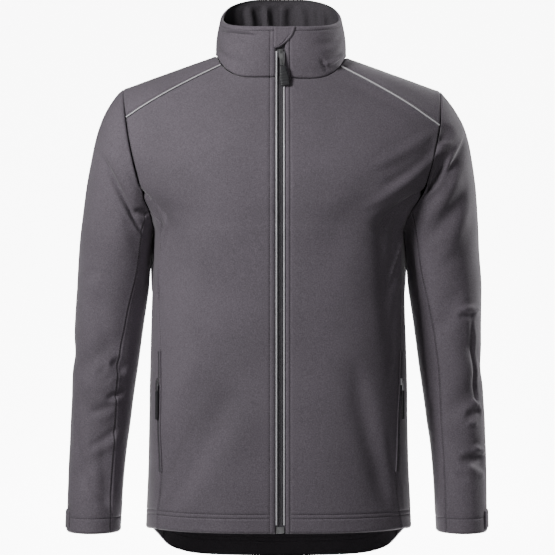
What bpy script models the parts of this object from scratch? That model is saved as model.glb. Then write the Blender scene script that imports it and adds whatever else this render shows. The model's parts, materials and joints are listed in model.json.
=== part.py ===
"""Softshell jacket, filled out with no wearer in it, as cut and sewn pieces and zip hardware.

Metres, +Z up, the front faces -Y and +X is the wearer's left. The origin is the level where the
jacket rests on the shoulders: the high point of the shoulder, on the garment's middle.
Cloth is a closed wall on a grid of outer points. Angles run round the body from +X (0) by the
middle of the front (90) and -X (180) to the middle of the back (270).
"""

import math

import bmesh
import bpy
import numpy as np

MM = 0.001


def table(names, *rows, unit=MM):
    """Named columns of numbers, the first column in rising order."""
    return dict(zip(names.split(), np.array(rows, float).T * unit))


CLOTH = 1.8 * MM
COLLAR_CLOTH = 2.6 * MM
SEAM_GAP = 0.3 * MM
HALF_GAP = SEAM_GAP / 2

# Body form
FULLNESS = 2.6
MIDDLE_Y = 4 * MM
CHEST_Z = -230 * MM
SHOULDER_SLOPE = 0.364
RIDGE_REACH = 101.5 * MM
RIDGE_SOFT = 30 * MM
NAPE_RISE = 22 * MM
NAPE_WIDTH = 50 * MM
SHOULDER_TIP_Z = -50 * MM

# Neck, collar and front opening
NECK_X = 3.5 * MM
NECK_HALF = 97 * MM
NECK_FULLNESS = 2.4
COLLAR_TOP_HALF = 90 * MM
COLLAR_TOP_FRONT = 77 * MM
COLLAR_TOP_BACK = 62 * MM
COLLAR_TOP_Y = 2 * MM
COLLAR_BULGE = 2.5 * MM
OPENING_X = 2.4 * MM
OPENING_HALF = 7.0 * MM

# Hem
HEM_Z = -695 * MM

# Colours, from dark cloth to bright trim
GRAPHITE = (0.135, 0.125, 0.14)
GRAPHITE_SHADE = (0.085, 0.08, 0.09)
SILVER = (0.62, 0.62, 0.64)
RUBBER = (0.05, 0.05, 0.055)
METAL = (0.55, 0.55, 0.56)

# Body sections: half widths to each side, depths in front of and behind the middle
BODY = table(
    "z left right front back",
    (-775, 198, 198, 131, 128),
    (-690, 197, 197, 131, 128),
    (-615, 194, 194, 133, 125),
    (-481, 191, 191, 134, 119),
    (-370, 188.2, 188.2, 135, 120),
    (-300, 186, 186, 135, 125),
    (-262, 184.2, 184.2, 135, 128),
    (-248, 188, 189, 134, 129),
    (-231, 196, 201, 134, 129),
    (-209, 214, 226, 133, 129),
    (-183, 229.5, 244, 132, 129),
    (-156, 243, 259, 131, 128),
    (-129, 252, 268, 129, 126),
    (-95, 260, 276, 127, 122),
    (-50, 269, 280, 124, 117),
    (60, 272, 282, 120, 110),
)

# Height of the neck seam below the shoulder line, by distance from the neck's middle
NECK = table(
    "x front back",
    (0, 64, 36),
    (30, 59.5, 25.4),
    (60, 48.5, 9.7),
    (73, 38.5, 6),
    (85, 24, 3),
    (97, 0, 0),
)
# Height in mm of the collar's top edge, by angle from the side towards the front (the back is negative)
COLLAR_TOP = table(
    "angle z",
    (-90, 94),
    (-70, 93),
    (-55, 89),
    (-40, 83.5),
    (-20, 72.5),
    (0, 58),
    (20, 48.5),
    (40, 42),
    (60, 38.5),
    (90, 37),
    unit=1,
)

# Armhole: angle from the side round to its edge, by turn from the shoulder (0) to the underarm (180)
ARMHOLE = table(
    "turn angle",
    (0, 35),
    (30, 35),
    (55, 34.5),
    (75, 34),
    (90, 33),
    (105, 30),
    (120, 25),
    (135, 17.5),
    (150, 11),
    (165, 5.5),
    (180, 0),
    unit=math.pi / 180,
)
UNDERARM_Z = -262 * MM

# Seam between front and side panel: distance from the middle, up to the armhole
SIDE_SEAM = table(
    "z left right",
    (-700, 176.5, 181),
    (-672, 176, 176),
    (-610, 171, 171.5),
    (-558, 172, 173),
    (-428, 173, 178),
    (-347, 175, 178),
    (-296, 173, 178),
    (-255, 172, 180),
)
SEAM_TURN = math.radians(135)

# Yoke seams, front and back: the turn where each meets the armhole, and where it meets the neck
YOKE_TURN = {-1: math.radians(56), 1: math.radians(62)}
YOKE_NECK = 86.5 * MM
BACK_YOKE_TURN = math.radians(60)
BACK_YOKE_NECK = 80 * MM
YOKE_BOW = 3 * MM

# Hem line below the front hem's height, by angle from the side round to the back's middle
TAIL = table("angle drop", (0, 5), (12, 11), (23, 24), (35, 44), (48, 56), (61, 62), (90, 67), unit=1)

# Soft troughs of the body: ends by angle and height, half width, depth (a ridge is negative)
BODY_FOLDS = (
    ("armhole_left", 155, -196, 146, -243, 8, 4.0),
    ("side_left", 138, -262, 134, -400, 24, 2.6),
    ("armhole_right", 29, -205, 42, -262, 20, 5.5),
    ("side_right", 41, -262, 37, -420, 18, 4.0),
    ("chest_right", 48, -130, 74, -300, 30, 3.0),
    ("lower_left", 104, -480, 136, -650, 26, 3.6),
    ("lower_left_ridge", 122, -440, 146, -560, 22, -3.0),
    ("lower_right", 62, -460, 43, -640, 24, 3.6),
    ("back_left", 212, -215, 246, -300, 26, 4.5),
    ("back_right", 328, -215, 292, -310, 26, 4.5),
    ("back_waist_left", 216, -400, 256, -455, 26, 4.0),
    ("back_waist_right", 322, -415, 286, -470, 26, 4.0),
)
FOLD_RADIUS = 170 * MM
FOLD_END = 0.4

# Steps between the points that a normal is worked out from
TURN_STEP = 0.004
LENGTH_STEP = 0.5 * MM
RING_STEP = 0.02
SHARE_STEP = 0.02

# How the end of a wall leans where three pieces meet
NECK_LEAN_Y = -6 * MM
ARM_LEAN_TOP = 0.3
ARM_LEAN_LOW = 0.9

# Grid counts
SEAM_ROWS = 14
ARM_ROWS = 5
YOKE_ROWS = 6
YOKE_COLUMNS = 6
NECK_FRONT_COLUMNS = 4
NECK_SIDE_COLUMNS = YOKE_ROWS
NECK_BACK_COLUMNS = 4
SIDE_COLUMNS = 4
SLEEVE_RINGS = 20
COLLAR_ROWS = 4

# Sleeve rings from the armhole to the cuff: outer line, inner line, half depth and middle
SLEEVE = table(
    "outer_left outer_right outer_z inner_x inner_z half_depth middle_y",
    (231, 240, -49, 184.4, -262, 76, 6),
    (240, 246, -56, 186.5, -268, 78, 6),
    (250, 256, -69, 188, -277, 78, 6),
    (259, 265.5, -84, 189, -288, 77, 6),
    (267, 275.5, -103, 190, -302, 75, 6),
    (274, 283, -127, 191.5, -320, 72, 6),
    (280, 288.5, -155, 193.5, -345, 69, 7),
    (287, 294, -195, 197, -370, 66, 8),
    (293, 297.5, -240, 201, -396, 63, 9),
    (298, 300, -290, 205, -424, 60, 10),
    (301, 303.5, -345, 209, -454, 58, 10),
    (304, 303, -400, 213.5, -484, 56, 9),
    (306.5, 303.5, -455, 217.5, -514, 54.5, 7),
    (307.5, 305.5, -505, 221, -545, 53, 4),
    (309.5, 308, -550, 225, -575, 51, 0),
    (311, 309, -592, 228, -605, 49, -6),
    (312, 308.5, -632, 230, -638, 47, -14),
    (312.5, 308, -668, 231, -671, 45.5, -22),
    (313, 308, -702, 232.5, -702, 44, -29),
)
LAST_RING = 18
CAP_FADE = 5
# Sleeve seams: turn of the front and of the back seam, by ring
SLEEVE_SEAM = table(
    "ring front back",
    (0, 135, 135),
    (6, 133, 130),
    (9, 125, 126),
    (11, 121, 124),
    (14, 129, 121),
    (18, 133, 118),
    unit=1,
)
SLEEVE_RADIUS = 48 * MM
# Soft troughs of the sleeves: ends by turn and height, half width, depth
SLEEVE_FOLDS = {
    -1: (
        ("cap_crease", 45, -157, 124, -250, 9, 4.5),
        ("elbow_high", 120, -420, 40, -470, 16, 3.4),
        ("elbow_mid", 40, -500, 118, -560, 17, 3.6),
        ("forearm", 100, -590, 30, -640, 15, 3.0),
        ("outer_elbow", -70, -400, 20, -450, 18, 3.5),
        ("outer_forearm", -80, -540, -10, -590, 16, 3.0),
    ),
    1: (
        ("cap_crease", 30, -125, 84, -190, 9, 4.0),
        ("cap_hollow", 72, -160, 108, -212, 11, 5.5),
        ("elbow_high", 112, -395, 30, -450, 16, 3.8),
        ("elbow_mid", 30, -478, 112, -530, 16, 3.6),
        ("forearm", 110, -560, 30, -612, 16, 3.4),
        ("outer_elbow", -70, -420, 16, -470, 18, 3.5),
        ("outer_forearm", -80, -530, -10, -580, 16, 3.0),
    ),
}

SIDE_NAMES = {-1: "right", 1: "left"}
# Steps along an edge and layers, round one face of a wall's rim
RIM = ((0, 0), (1, 0), (1, 1), (0, 1))
CLOTH_LOOK = (GRAPHITE, 0.8)
SHADE_LOOK = (GRAPHITE_SHADE, 0.8)

# Opening and its zip: distances across are from the garment's middle, lifts from the cloth's face
ZIP_X = 3.0 * MM
TAPE_WIDTH = 11 * MM
TAPE_THICK = 0.9 * MM
TAPE_LIFT = -3.6 * MM
TAPE_TOP = 0.97
PIPING_RADIUS = 1.1 * MM
PIPING_X = {-1: -3.0 * MM, 1: 8.0 * MM}
PIPING_LIFT = -0.5 * MM
PIPING_LOW_Z = -682 * MM
PIPING_TOP = 0.5
PIPING_END = 2 * MM
STRIP_ROWS = 20
STRIP_COLLAR_ROWS = 4
STRIP_COLLAR_START = 0.03
BOX_SIZE = (11.6 * MM, 4.4 * MM, 9 * MM)
BOX_X = 2.4 * MM
BOX_Z = -689 * MM
BOX_LIFT = -1.05 * MM
SLIDER_SIZE = (7.0 * MM, 4.8 * MM, 12 * MM)
SLIDER_Z = -3 * MM
SLIDER_LIFT = -0.8 * MM
CROWN_SIZE = (2.4 * MM, 3.4 * MM, 2.6 * MM)
CROWN_SINK = 1 * MM
PIVOT_LIFT = 3.4 * MM
PIVOT_Z = -0.5 * MM
PULL_SLOT = (3.6 * MM, 6 * MM, 4.2 * MM)
PULL_LEAN = math.radians(-5)
PULL_TILT = math.radians(-8)
LINK_SIZE = (6.6 * MM, 1.4 * MM, 22 * MM)
GRIP_SIZE = (13 * MM, 3.2 * MM, 30 * MM)
LINK_TOP = 1.2 * MM
PULL_BEVEL = 1 * MM

# Guard over the top of the zip: its free edge, by height
GUARD = table("z x", (4.5, -1), (10.8, 9.4), (22.4, 21), (36.2, 26.8))
GUARD_START_X = -7 * MM
GUARD_ROWS = 6
GUARD_COLUMNS = 5
GUARD_CLOTH = 1.6 * MM
COLLAR_LOW_Z = -38 * MM
COLLAR_SAMPLES = 41

# Pocket zips in the side seams
POCKET_TOP_Z = -435 * MM
POCKET_LOW_Z = -610 * MM
POCKET_HALF_ANGLE = 0.026
POCKET_THICK = 1.2 * MM
POCKET_ROWS = 8
POCKET_SLIDER_Z = -480 * MM
POCKET_SLIDER_SIZE = (6 * MM, 2.4 * MM, 10 * MM)
POCKET_SLIDER_LIFT = 3.0 * MM
POCKET_PIVOT_LIFT = 5.6 * MM
POCKET_LINK_SIZE = (5.4 * MM, 1.3 * MM, 14 * MM)
POCKET_TAB_SIZE = (6.4 * MM, 2.4 * MM, 42 * MM)

# Cuff tabs: turns round the sleeve and ring numbers of their edges
TAB_TURNS = (math.radians(-62), math.radians(34))
TAB_RINGS = (17.08, 17.84)
TAB_CLOTH = 1.8 * MM
TAB_COLUMNS = 12

CLEAR = 0.35 * MM
SILVER_LOOK = (SILVER, 0.35, 0.4)
METAL_LOOK = (METAL, 0.35, 1.0)
RUBBER_LOOK = (RUBBER, 0.6)


def smooth(at, xs, ys):
    """Cubic interpolation that never overshoots its points."""
    at = np.clip(np.asarray(at, float), xs[0], xs[-1])
    step = np.diff(xs)
    slope = np.diff(ys) / step
    tangent = np.concatenate([slope[:1], (slope[:-1] + slope[1:]) / 2, slope[-1:]])
    flat = slope[:-1] * slope[1:] <= 0
    tangent[1:-1][flat] = 0
    least = np.minimum(abs(slope[:-1]), abs(slope[1:])) * 3
    tangent[1:-1] = np.clip(tangent[1:-1], -least, least)
    i = np.clip(np.searchsorted(xs, at, side="right") - 1, 0, len(step) - 1)
    u = (at - xs[i]) / step[i]
    start = ys[i] * (1 + 2 * u) * (1 - u) ** 2 + tangent[i] * step[i] * u * (1 - u) ** 2
    return start + ys[i + 1] * u**2 * (3 - 2 * u) + tangent[i + 1] * step[i] * u**2 * (u - 1)


def signed_power(value, power):
    return np.sign(value) * np.abs(value) ** power


def half_width(z, side):
    return np.where(side < 0, smooth(z, BODY["z"], BODY["left"]), smooth(z, BODY["z"], BODY["right"]))


def depth(z, face):
    """Depth of the body in front of its middle (face 1) or behind it (face -1)."""
    return np.where(face > 0, smooth(z, BODY["z"], BODY["front"]), smooth(z, BODY["z"], BODY["back"]))


def ridge(x, face):
    """Height of the shoulder line, which climbs on towards the nape behind the neck."""
    line = SHOULDER_SLOPE * (RIDGE_REACH - np.sqrt(x**2 + RIDGE_SOFT**2))
    return line + np.where(face < 0, NAPE_RISE * np.exp(-((x / NAPE_WIDTH) ** 2)), 0)


def angle_of(x, z, face):
    """Angle round the body of the point at this width and height, in front or behind."""
    share = np.clip(np.abs(x) / half_width(z, np.sign(x)), 0, 1)
    angle = np.arccos(np.sign(x) * share ** (FULLNESS / 2))
    return np.where(face > 0, angle, 2 * math.pi - angle)


def folds(angle, z, rows):
    """Height of the folds above the plain form."""
    total = np.zeros(np.broadcast(angle, z).shape)
    for _, a0, z0, a1, z1, width, deep in rows:
        start = np.array([math.radians(a0) * FOLD_RADIUS, z0 * MM])
        along = np.array([math.radians(a1) * FOLD_RADIUS, z1 * MM]) - start
        length = np.hypot(*along)
        px = angle * FOLD_RADIUS - start[0]
        pz = z - start[1]
        run = (px * along[0] + pz * along[1]) / length**2
        off = (px * along[1] - pz * along[0]) / length
        ends = np.clip(np.minimum(run, 1 - run) / FOLD_END + 0.5, 0, 1)
        total -= deep * MM * np.exp(-((off / (width * MM)) ** 2)) * ends**2 * (3 - 2 * ends)
    return total


def plain_body(angle, z):
    """Point of the body's smooth form at this angle and height."""
    c, s = np.cos(angle), np.sin(angle)
    x = half_width(z, np.sign(c)) * signed_power(c, 2 / FULLNESS)
    top = ridge(x, s)
    share = np.clip((top - z) / (top - CHEST_Z), 0, 1)
    out = depth(z, s) * np.abs(s) ** (2 / FULLNESS) * np.sqrt(1 - (1 - share) ** 2)
    return np.stack([x, MIDDLE_Y - np.sign(s) * out, z + 0 * x], -1)


def plain_shoulder(x, roll):
    """Point of the same form over the shoulder line, by width and roll from the line to the front."""
    face = np.where(roll < 0, -1, 1)
    top = ridge(x, face)
    z = top - (top - CHEST_Z) * (1 - np.cos(roll))
    share = np.clip(np.abs(x) / half_width(z, np.sign(x)), 0, 1)
    out = depth(z, face) * (1 - share**FULLNESS) ** (1 / FULLNESS) * np.sin(roll)
    return np.stack([x, MIDDLE_Y - out, z], -1)


def normals_of(form, a, b, step_a, step_b):
    """Outward unit normals of a form of two values."""
    across = form(a + step_a, b) - form(a - step_a, b)
    up = form(a, b + step_b) - form(a, b - step_b)
    found = np.cross(across, up)
    return found / np.linalg.norm(found, axis=-1, keepdims=True)


def body(angle, z):
    """Points and outward normals on the folded body."""
    points = plain_body(angle, z)
    outward = -normals_of(plain_body, angle, z, TURN_STEP, LENGTH_STEP)
    return points + outward * folds(angle, z, BODY_FOLDS)[..., None], outward


def shoulder(x, roll):
    outward = -normals_of(plain_shoulder, x, roll, LENGTH_STEP, TURN_STEP)
    return plain_shoulder(x, roll), outward


def roll_of(x, z, face):
    top = ridge(x, face)
    return face * np.arccos(np.clip(1 - (top - z) / (top - CHEST_Z), 0, 1))


def armhole(turn, side):
    """Width and height of the armhole's edge. The turn is positive in front and negative behind."""
    angle = smooth(np.abs(turn), ARMHOLE["turn"], ARMHOLE["angle"])
    top_x = half_width(SHOULDER_TIP_Z, side) * math.cos(ARMHOLE["angle"][0]) ** (2 / FULLNESS)
    z = UNDERARM_Z + (ridge(top_x, 1) - UNDERARM_Z) * (1 + np.cos(turn)) / 2
    return side * half_width(z, side) * np.cos(angle) ** (2 / FULLNESS), z


def plain_sleeve(turn, ring, side):
    """Point of a sleeve's smooth form by turn round it (0 outermost, 90 in front) and ring number."""
    rings = np.arange(LAST_RING + 1.0)

    def value(name, at):
        return smooth(at, rings, SLEEVE[name])

    def ellipse(at):
        outer_x = value("outer_left" if side < 0 else "outer_right", at)
        mid_x, half_x = (outer_x + value("inner_x", at)) / 2, (outer_x - value("inner_x", at)) / 2
        mid_z = (value("outer_z", at) + value("inner_z", at)) / 2
        half_z = (value("outer_z", at) - value("inner_z", at)) / 2
        x = side * (mid_x + half_x * np.cos(turn))
        y = value("middle_y", at) - value("half_depth", at) * np.sin(turn)
        return np.stack([x, y, mid_z + half_z * np.cos(turn)], -1)

    wrapped = (turn + math.pi) % (2 * math.pi) - math.pi
    edge_x, edge_z = armhole(wrapped, side)
    start = edge_point(edge_x, edge_z, np.where(wrapped < 0, -1, 1))
    fade = np.clip(1 - ring / CAP_FADE, 0, 1) ** 2
    return ellipse(ring) + (start - ellipse(0 * ring)) * fade[..., None]


def edge_point(x, z, face):
    """Point of the body's folded form at a width and height, in front or behind."""
    points, _ = body(angle_of(x, z, face), z)
    return points


def sleeve(turn, ring, side):
    """Points and outward normals on a folded sleeve."""
    points = plain_sleeve(turn, ring, side)
    outward = side * normals_of(lambda a, b: plain_sleeve(a, b, side), turn, ring, TURN_STEP, RING_STEP)
    wrapped = (turn + math.pi) % (2 * math.pi) - math.pi
    fade = np.clip(ring / 2, 0, 1)
    raised = folds(wrapped * SLEEVE_RADIUS / FOLD_RADIUS, points[..., 2], sleeve_rows(side)) * fade
    return points + outward * raised[..., None], outward


def sleeve_rows(side):
    scale = SLEEVE_RADIUS / FOLD_RADIUS
    return [(name, a0 * scale, z0, a1 * scale, z1, w, d) for name, a0, z0, a1, z1, w, d in SLEEVE_FOLDS[side]]


def coons(bottom, top, left, right):
    """Patch between four edges given as rows of two values; rows run up, columns from left to right."""
    u = np.linspace(0, 1, len(bottom))[None, :, None]
    v = np.linspace(0, 1, len(left))[:, None, None]
    flat = (1 - v) * bottom[None] + v * top[None] + (1 - u) * left[:, None] + u * right[:, None]
    low = (1 - u) * bottom[0] + u * bottom[-1]
    high = (1 - u) * top[0] + u * top[-1]
    return flat - (1 - v) * low - v * high


def pairs(a, b):
    return np.stack(np.broadcast_arrays(a, b), -1)


def joined(*edges):
    """Edges end to end, each one's first point being the last one's last."""
    return np.concatenate([edges[0]] + [edge[1:] for edge in edges[1:]])


def hem_z(angle):
    """Height of the hem at an angle round the body: level in front, dropped at the back."""
    off_side = np.degrees(np.arcsin(np.clip(-np.sin(angle), -1, 1)))
    drop = smooth(np.maximum(off_side, 0), TAIL["angle"], TAIL["drop"])
    front = np.clip(1 + off_side / 25, 0, 1) * TAIL["drop"][0]
    return HEM_Z - np.where(off_side >= 0, drop, front) * MM


def arm_turns(first, last, count):
    return np.linspace(first, last, count + 1)


def under_turns():
    """Turns round the armhole under the arm, between the two side seams."""
    return arm_turns(SEAM_TURN, 2 * math.pi - SEAM_TURN, SIDE_COLUMNS)


def yoke_turns(side):
    """Turns round the armhole over the shoulder, between the two yoke seams."""
    return arm_turns(-BACK_YOKE_TURN, YOKE_TURN[side], YOKE_ROWS)


def arm_edge(turns, side, face):
    """Armhole edge as angles and heights."""
    x, z = armhole(turns, side)
    return pairs(angle_of(x, z, face), z)


def seam_column(side):
    return SIDE_SEAM["left" if side < 0 else "right"]


def seam_edge(side, face):
    """Side seam from the hem to the armhole, as angles and heights."""
    end_x, end_z = armhole(np.array([SEAM_TURN]), side)
    column = seam_column(side)
    low_angle = angle_of(side * column[:1], HEM_Z, face)
    z = np.linspace(hem_z(low_angle)[0], end_z[0], SEAM_ROWS + 1)
    width = smooth(z, np.append(SIDE_SEAM["z"], end_z[0]), np.append(column, abs(end_x[0])))
    return pairs(angle_of(side * width, z, face), z)


def neck_drop(off, face):
    """How far the neck seam lies below the shoulder line, by distance from the neck's middle."""
    front, back = (smooth(abs(off), NECK["x"], NECK[name]) for name in ("front", "back"))
    return np.where(face > 0, front, back)


def neck_turns(side, first, last, count):
    """Neck seam points as width, height and face, by turn from the shoulder (front is positive)."""
    turn = np.linspace(first, last, count + 1)
    face = np.where(turn < 0, -1, 1)
    off = side * NECK_HALF * np.abs(np.cos(turn)) ** (2 / NECK_FULLNESS)
    x = NECK_X + off
    return x, ridge(x, face) - neck_drop(off, face), face


def neck_turn_at(off):
    """Turn of the neck seam's point at this distance from the neck's middle."""
    return math.acos((abs(off) / NECK_HALF) ** (NECK_FULLNESS / 2))


def opening_x(side):
    return OPENING_X + side * OPENING_HALF


def neck_parts(side):
    """Turns of the neck seam's points on one side: front panel, yoke, half of the back."""
    front = neck_turn_at(opening_x(side) - NECK_X), neck_turn_at(YOKE_NECK)
    return (
        (*front, NECK_FRONT_COLUMNS),
        (front[1], -neck_turn_at(BACK_YOKE_NECK), NECK_SIDE_COLUMNS),
        (-neck_turn_at(BACK_YOKE_NECK), -math.pi / 2, NECK_BACK_COLUMNS),
    )


def yoke_seam(side, face):
    """Yoke seam from the armhole to the neck, as widths and heights."""
    turn = YOKE_TURN[side] if face > 0 else -BACK_YOKE_TURN
    arm_x, arm_z = armhole(np.array([turn]), side)
    neck_x, neck_z, _ = neck_turns(side, face * neck_turn_at(YOKE_NECK if face > 0 else BACK_YOKE_NECK), 0, 1)
    u = np.linspace(0, 1, YOKE_COLUMNS + 1)
    x = arm_x[0] + (neck_x[0] - arm_x[0]) * u
    return x, arm_z[0] + (neck_z[0] - arm_z[0]) * u + YOKE_BOW * 4 * u * (1 - u)


def front_panel(side):
    """Angles and heights of a front panel, columns from its side to the opening."""
    side_edge = joined(seam_edge(side, 1), arm_edge(arm_turns(SEAM_TURN, YOKE_TURN[side], ARM_ROWS), side, 1))
    x, z = yoke_seam(side, 1)
    neck_x, neck_z, _ = neck_turns(side, *neck_parts(side)[0])
    top = joined(pairs(angle_of(x, z, 1), z), pairs(angle_of(neck_x, neck_z, 1), neck_z)[::-1])
    height = (side_edge[:, 1] - side_edge[0, 1]) / (side_edge[-1, 1] - side_edge[0, 1])
    middle_z = HEM_Z + (top[-1, 1] - HEM_Z) * height
    middle = pairs(angle_of(opening_x(side), middle_z, 1), middle_z)
    across = np.linspace(side_edge[0, 0], middle[0, 0], len(top))
    return coons(pairs(across, hem_z(across)), top, side_edge, middle)


def back_panel():
    """Angles and heights of the back, columns from -X to +X."""
    edges = {}
    tops = {}
    for side in (-1, 1):
        turns = arm_turns(-SEAM_TURN, -BACK_YOKE_TURN, ARM_ROWS)
        edges[side] = joined(seam_edge(side, -1), arm_edge(turns, side, -1))
        x, z = yoke_seam(side, -1)
        neck_x, neck_z, _ = neck_turns(side, *neck_parts(side)[2])
        tops[side] = joined(pairs(angle_of(x, z, -1), z), pairs(angle_of(neck_x, neck_z, -1), neck_z))
    top = joined(tops[-1], tops[1][::-1])
    across = np.linspace(edges[-1][0, 0], edges[1][0, 0], len(top))
    return coons(pairs(across, hem_z(across)), top, edges[-1], edges[1])


def side_panel(side):
    """Angles and heights of a side panel, columns from its front seam to its back seam."""
    front, back = seam_edge(side, 1), seam_edge(side, -1)
    turns = under_turns()
    wrapped = np.where(turns > math.pi, turns - 2 * math.pi, turns)
    x, z = armhole(wrapped, side)
    top = pairs(angle_of(x, z, np.where(wrapped < 0, -1, 1)), z)
    if side > 0:
        back[:, 0] -= 2 * math.pi
        top[:, 0] = np.where(top[:, 0] > math.pi, top[:, 0] - 2 * math.pi, top[:, 0])
    across = np.linspace(front[0, 0], back[0, 0], SIDE_COLUMNS + 1)
    return coons(pairs(across, hem_z(across)), top, front, back)


def yoke(side):
    """Widths and rolls of a yoke, rows from the back seam to the front seam, columns from arm to neck."""
    def flat(x, z, face):
        return pairs(x, roll_of(x, z, face))

    front = flat(*yoke_seam(side, 1), 1)
    back = flat(*yoke_seam(side, -1), -1)
    turns = yoke_turns(side)
    arm_x, arm_z = armhole(turns, side)
    arm = flat(arm_x, arm_z, np.where(turns < 0, -1, 1))
    first, last, _ = neck_parts(side)[1]
    neck = flat(*neck_turns(side, last, first, NECK_SIDE_COLUMNS))
    return coons(back, front, arm, neck)


def plain_collar(rho, share):
    """Point of the collar by angle round the neck and share of its height."""
    c, s = np.cos(rho), np.sin(rho)
    face = np.where(s < 0, -1, 1)
    off = NECK_HALF * signed_power(c, 2 / NECK_FULLNESS)
    x = NECK_X + off
    low = plain_shoulder(x, roll_of(x, ridge(x, face) - neck_drop(off, face), face))
    high_off = off * COLLAR_TOP_HALF / NECK_HALF
    high_z = smooth(np.degrees(np.arcsin(s)), COLLAR_TOP["angle"], COLLAR_TOP["z"]) * MM
    reach = np.where(face > 0, COLLAR_TOP_FRONT, COLLAR_TOP_BACK) * np.abs(s) ** (2 / NECK_FULLNESS)
    high = np.stack([NECK_X + high_off, COLLAR_TOP_Y - face * reach, high_z], -1)
    swell = COLLAR_BULGE * np.sin(math.pi * np.clip(share, 0, 1))
    away = np.stack([c, -s, 0 * s], -1)
    return low + (high - low) * share[..., None] + away * swell[..., None]


def unit(vectors):
    return vectors / np.linalg.norm(vectors, axis=-1, keepdims=True)


def collar(rho, share):
    """Points and outward normals of the collar; at the neck seam the normal leans halfway to the body's."""
    rho, share = np.broadcast_arrays(rho, share)
    points = plain_collar(rho, share)
    outward = -normals_of(plain_collar, rho, share, TURN_STEP, SHARE_STEP)
    return points, outward


def neck_lean(points, outward):
    """Direction of a wall's end at the neck seam, shared by the body and the collar."""
    away = points - np.array([NECK_X, NECK_LEAN_Y, 0])
    away[..., 2] = 0
    return unit(outward + unit(away))


def arm_lean(points, outward, turns, side):
    """Direction of a wall's end at the armhole: away from the hole's middle, leaning to its own wall."""
    ends = [edge_point(*armhole(np.array([turn]), side), 1)[0] for turn in (0, math.pi)]
    middle = (ends[0] + ends[1]) / 2
    away = points - middle
    away = unit(away - np.outer(away @ arm_axis(side), arm_axis(side)))
    lean = ARM_LEAN_TOP + ARM_LEAN_LOW * ((1 - np.cos(turns)) / 2) ** 2
    return unit(away + outward * lean[:, None])


def arm_axis(side):
    """Unit direction square to the armhole, out along the sleeve."""
    (top_x, low_x), (top_z, low_z) = armhole(np.array([0, math.pi]), side)
    return unit(np.array([side * (top_z - low_z), 0, -side * (top_x - low_x)]))


def material(name, colour, roughness=0.8, metallic=0.0):
    made = bpy.data.materials.new(name)
    made.use_nodes = True
    shader = made.node_tree.nodes["Principled BSDF"]
    shader.inputs["Base Color"].default_value = (*colour, 1)
    shader.inputs["Roughness"].default_value = roughness
    shader.inputs["Metallic"].default_value = metallic
    return made


def add_mesh(name, vertices, faces, look, group):
    mesh = bpy.data.meshes.new(name)
    mesh.from_pydata([tuple(v) for v in vertices], [], faces)
    shape = bmesh.new()
    shape.from_mesh(mesh)
    bmesh.ops.recalc_face_normals(shape, faces=shape.faces)
    shape.to_mesh(mesh)
    shape.free()
    mesh.shade_smooth()
    mesh.set_sharp_from_angle(angle=math.radians(40))
    made = bpy.data.objects.new(name, mesh)
    made.data.materials.append(material(name, *look))
    group.objects.link(made)
    return made


def pulled(points, rows=(), columns=()):
    """Edge rows and columns drawn back towards their neighbours, so that a seam keeps its gap."""
    moved = points.copy()
    for row in rows:
        step = points[row + (1 if row == 0 else -1)] - points[row]
        moved[row] += unit(step) * HALF_GAP
    for column in columns:
        step = points[:, column + (1 if column == 0 else -1)] - points[:, column]
        moved[:, column] += unit(step) * HALF_GAP
    return moved


def wall(name, outer, outward, thickness, look, group, rows=(), columns=()):
    """Cloth: a closed wall behind a grid of outer points."""
    inner = pulled(outer - outward * thickness, rows, columns)
    outer = pulled(outer, rows, columns)
    n_rows, n_columns = outer.shape[:2]
    count = n_rows * n_columns

    def at(row, column, layer):
        return layer * count + row * n_columns + column

    faces = []
    for row in range(n_rows - 1):
        for column in range(n_columns - 1):
            for layer in (0, 1):
                ring = [
                    at(row, column, layer),
                    at(row, column + 1, layer),
                    at(row + 1, column + 1, layer),
                    at(row + 1, column, layer),
                ]
                faces.append(ring if layer == 0 else ring[::-1])
    for row in range(n_rows - 1):
        for column in (0, n_columns - 1):
            faces.append([at(row + up, column, layer) for up, layer in RIM])
    for column in range(n_columns - 1):
        for row in (0, n_rows - 1):
            faces.append([at(row, column + along, layer) for along, layer in RIM])
    vertices = np.concatenate([outer.reshape(-1, 3), inner.reshape(-1, 3)])
    return add_mesh(name, vertices, faces, look, group)


def body_wall(name, grid, look, group, arm, neck, rows, columns):
    """A body panel. arm and neck list the edge points at an armhole or the neck, with turns and side."""
    points, outward = body(grid[..., 0], grid[..., 1])
    lean_edges(points, outward, arm, neck)
    return wall(name, points, outward, CLOTH, look, group, rows, columns)


def lean_edges(points, outward, arm, neck):
    for place in neck:
        outward[place] = neck_lean(points[place], outward[place])
    for place, turns, side in arm:
        outward[place] = arm_lean(points[place], outward[place], turns, side)


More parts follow.
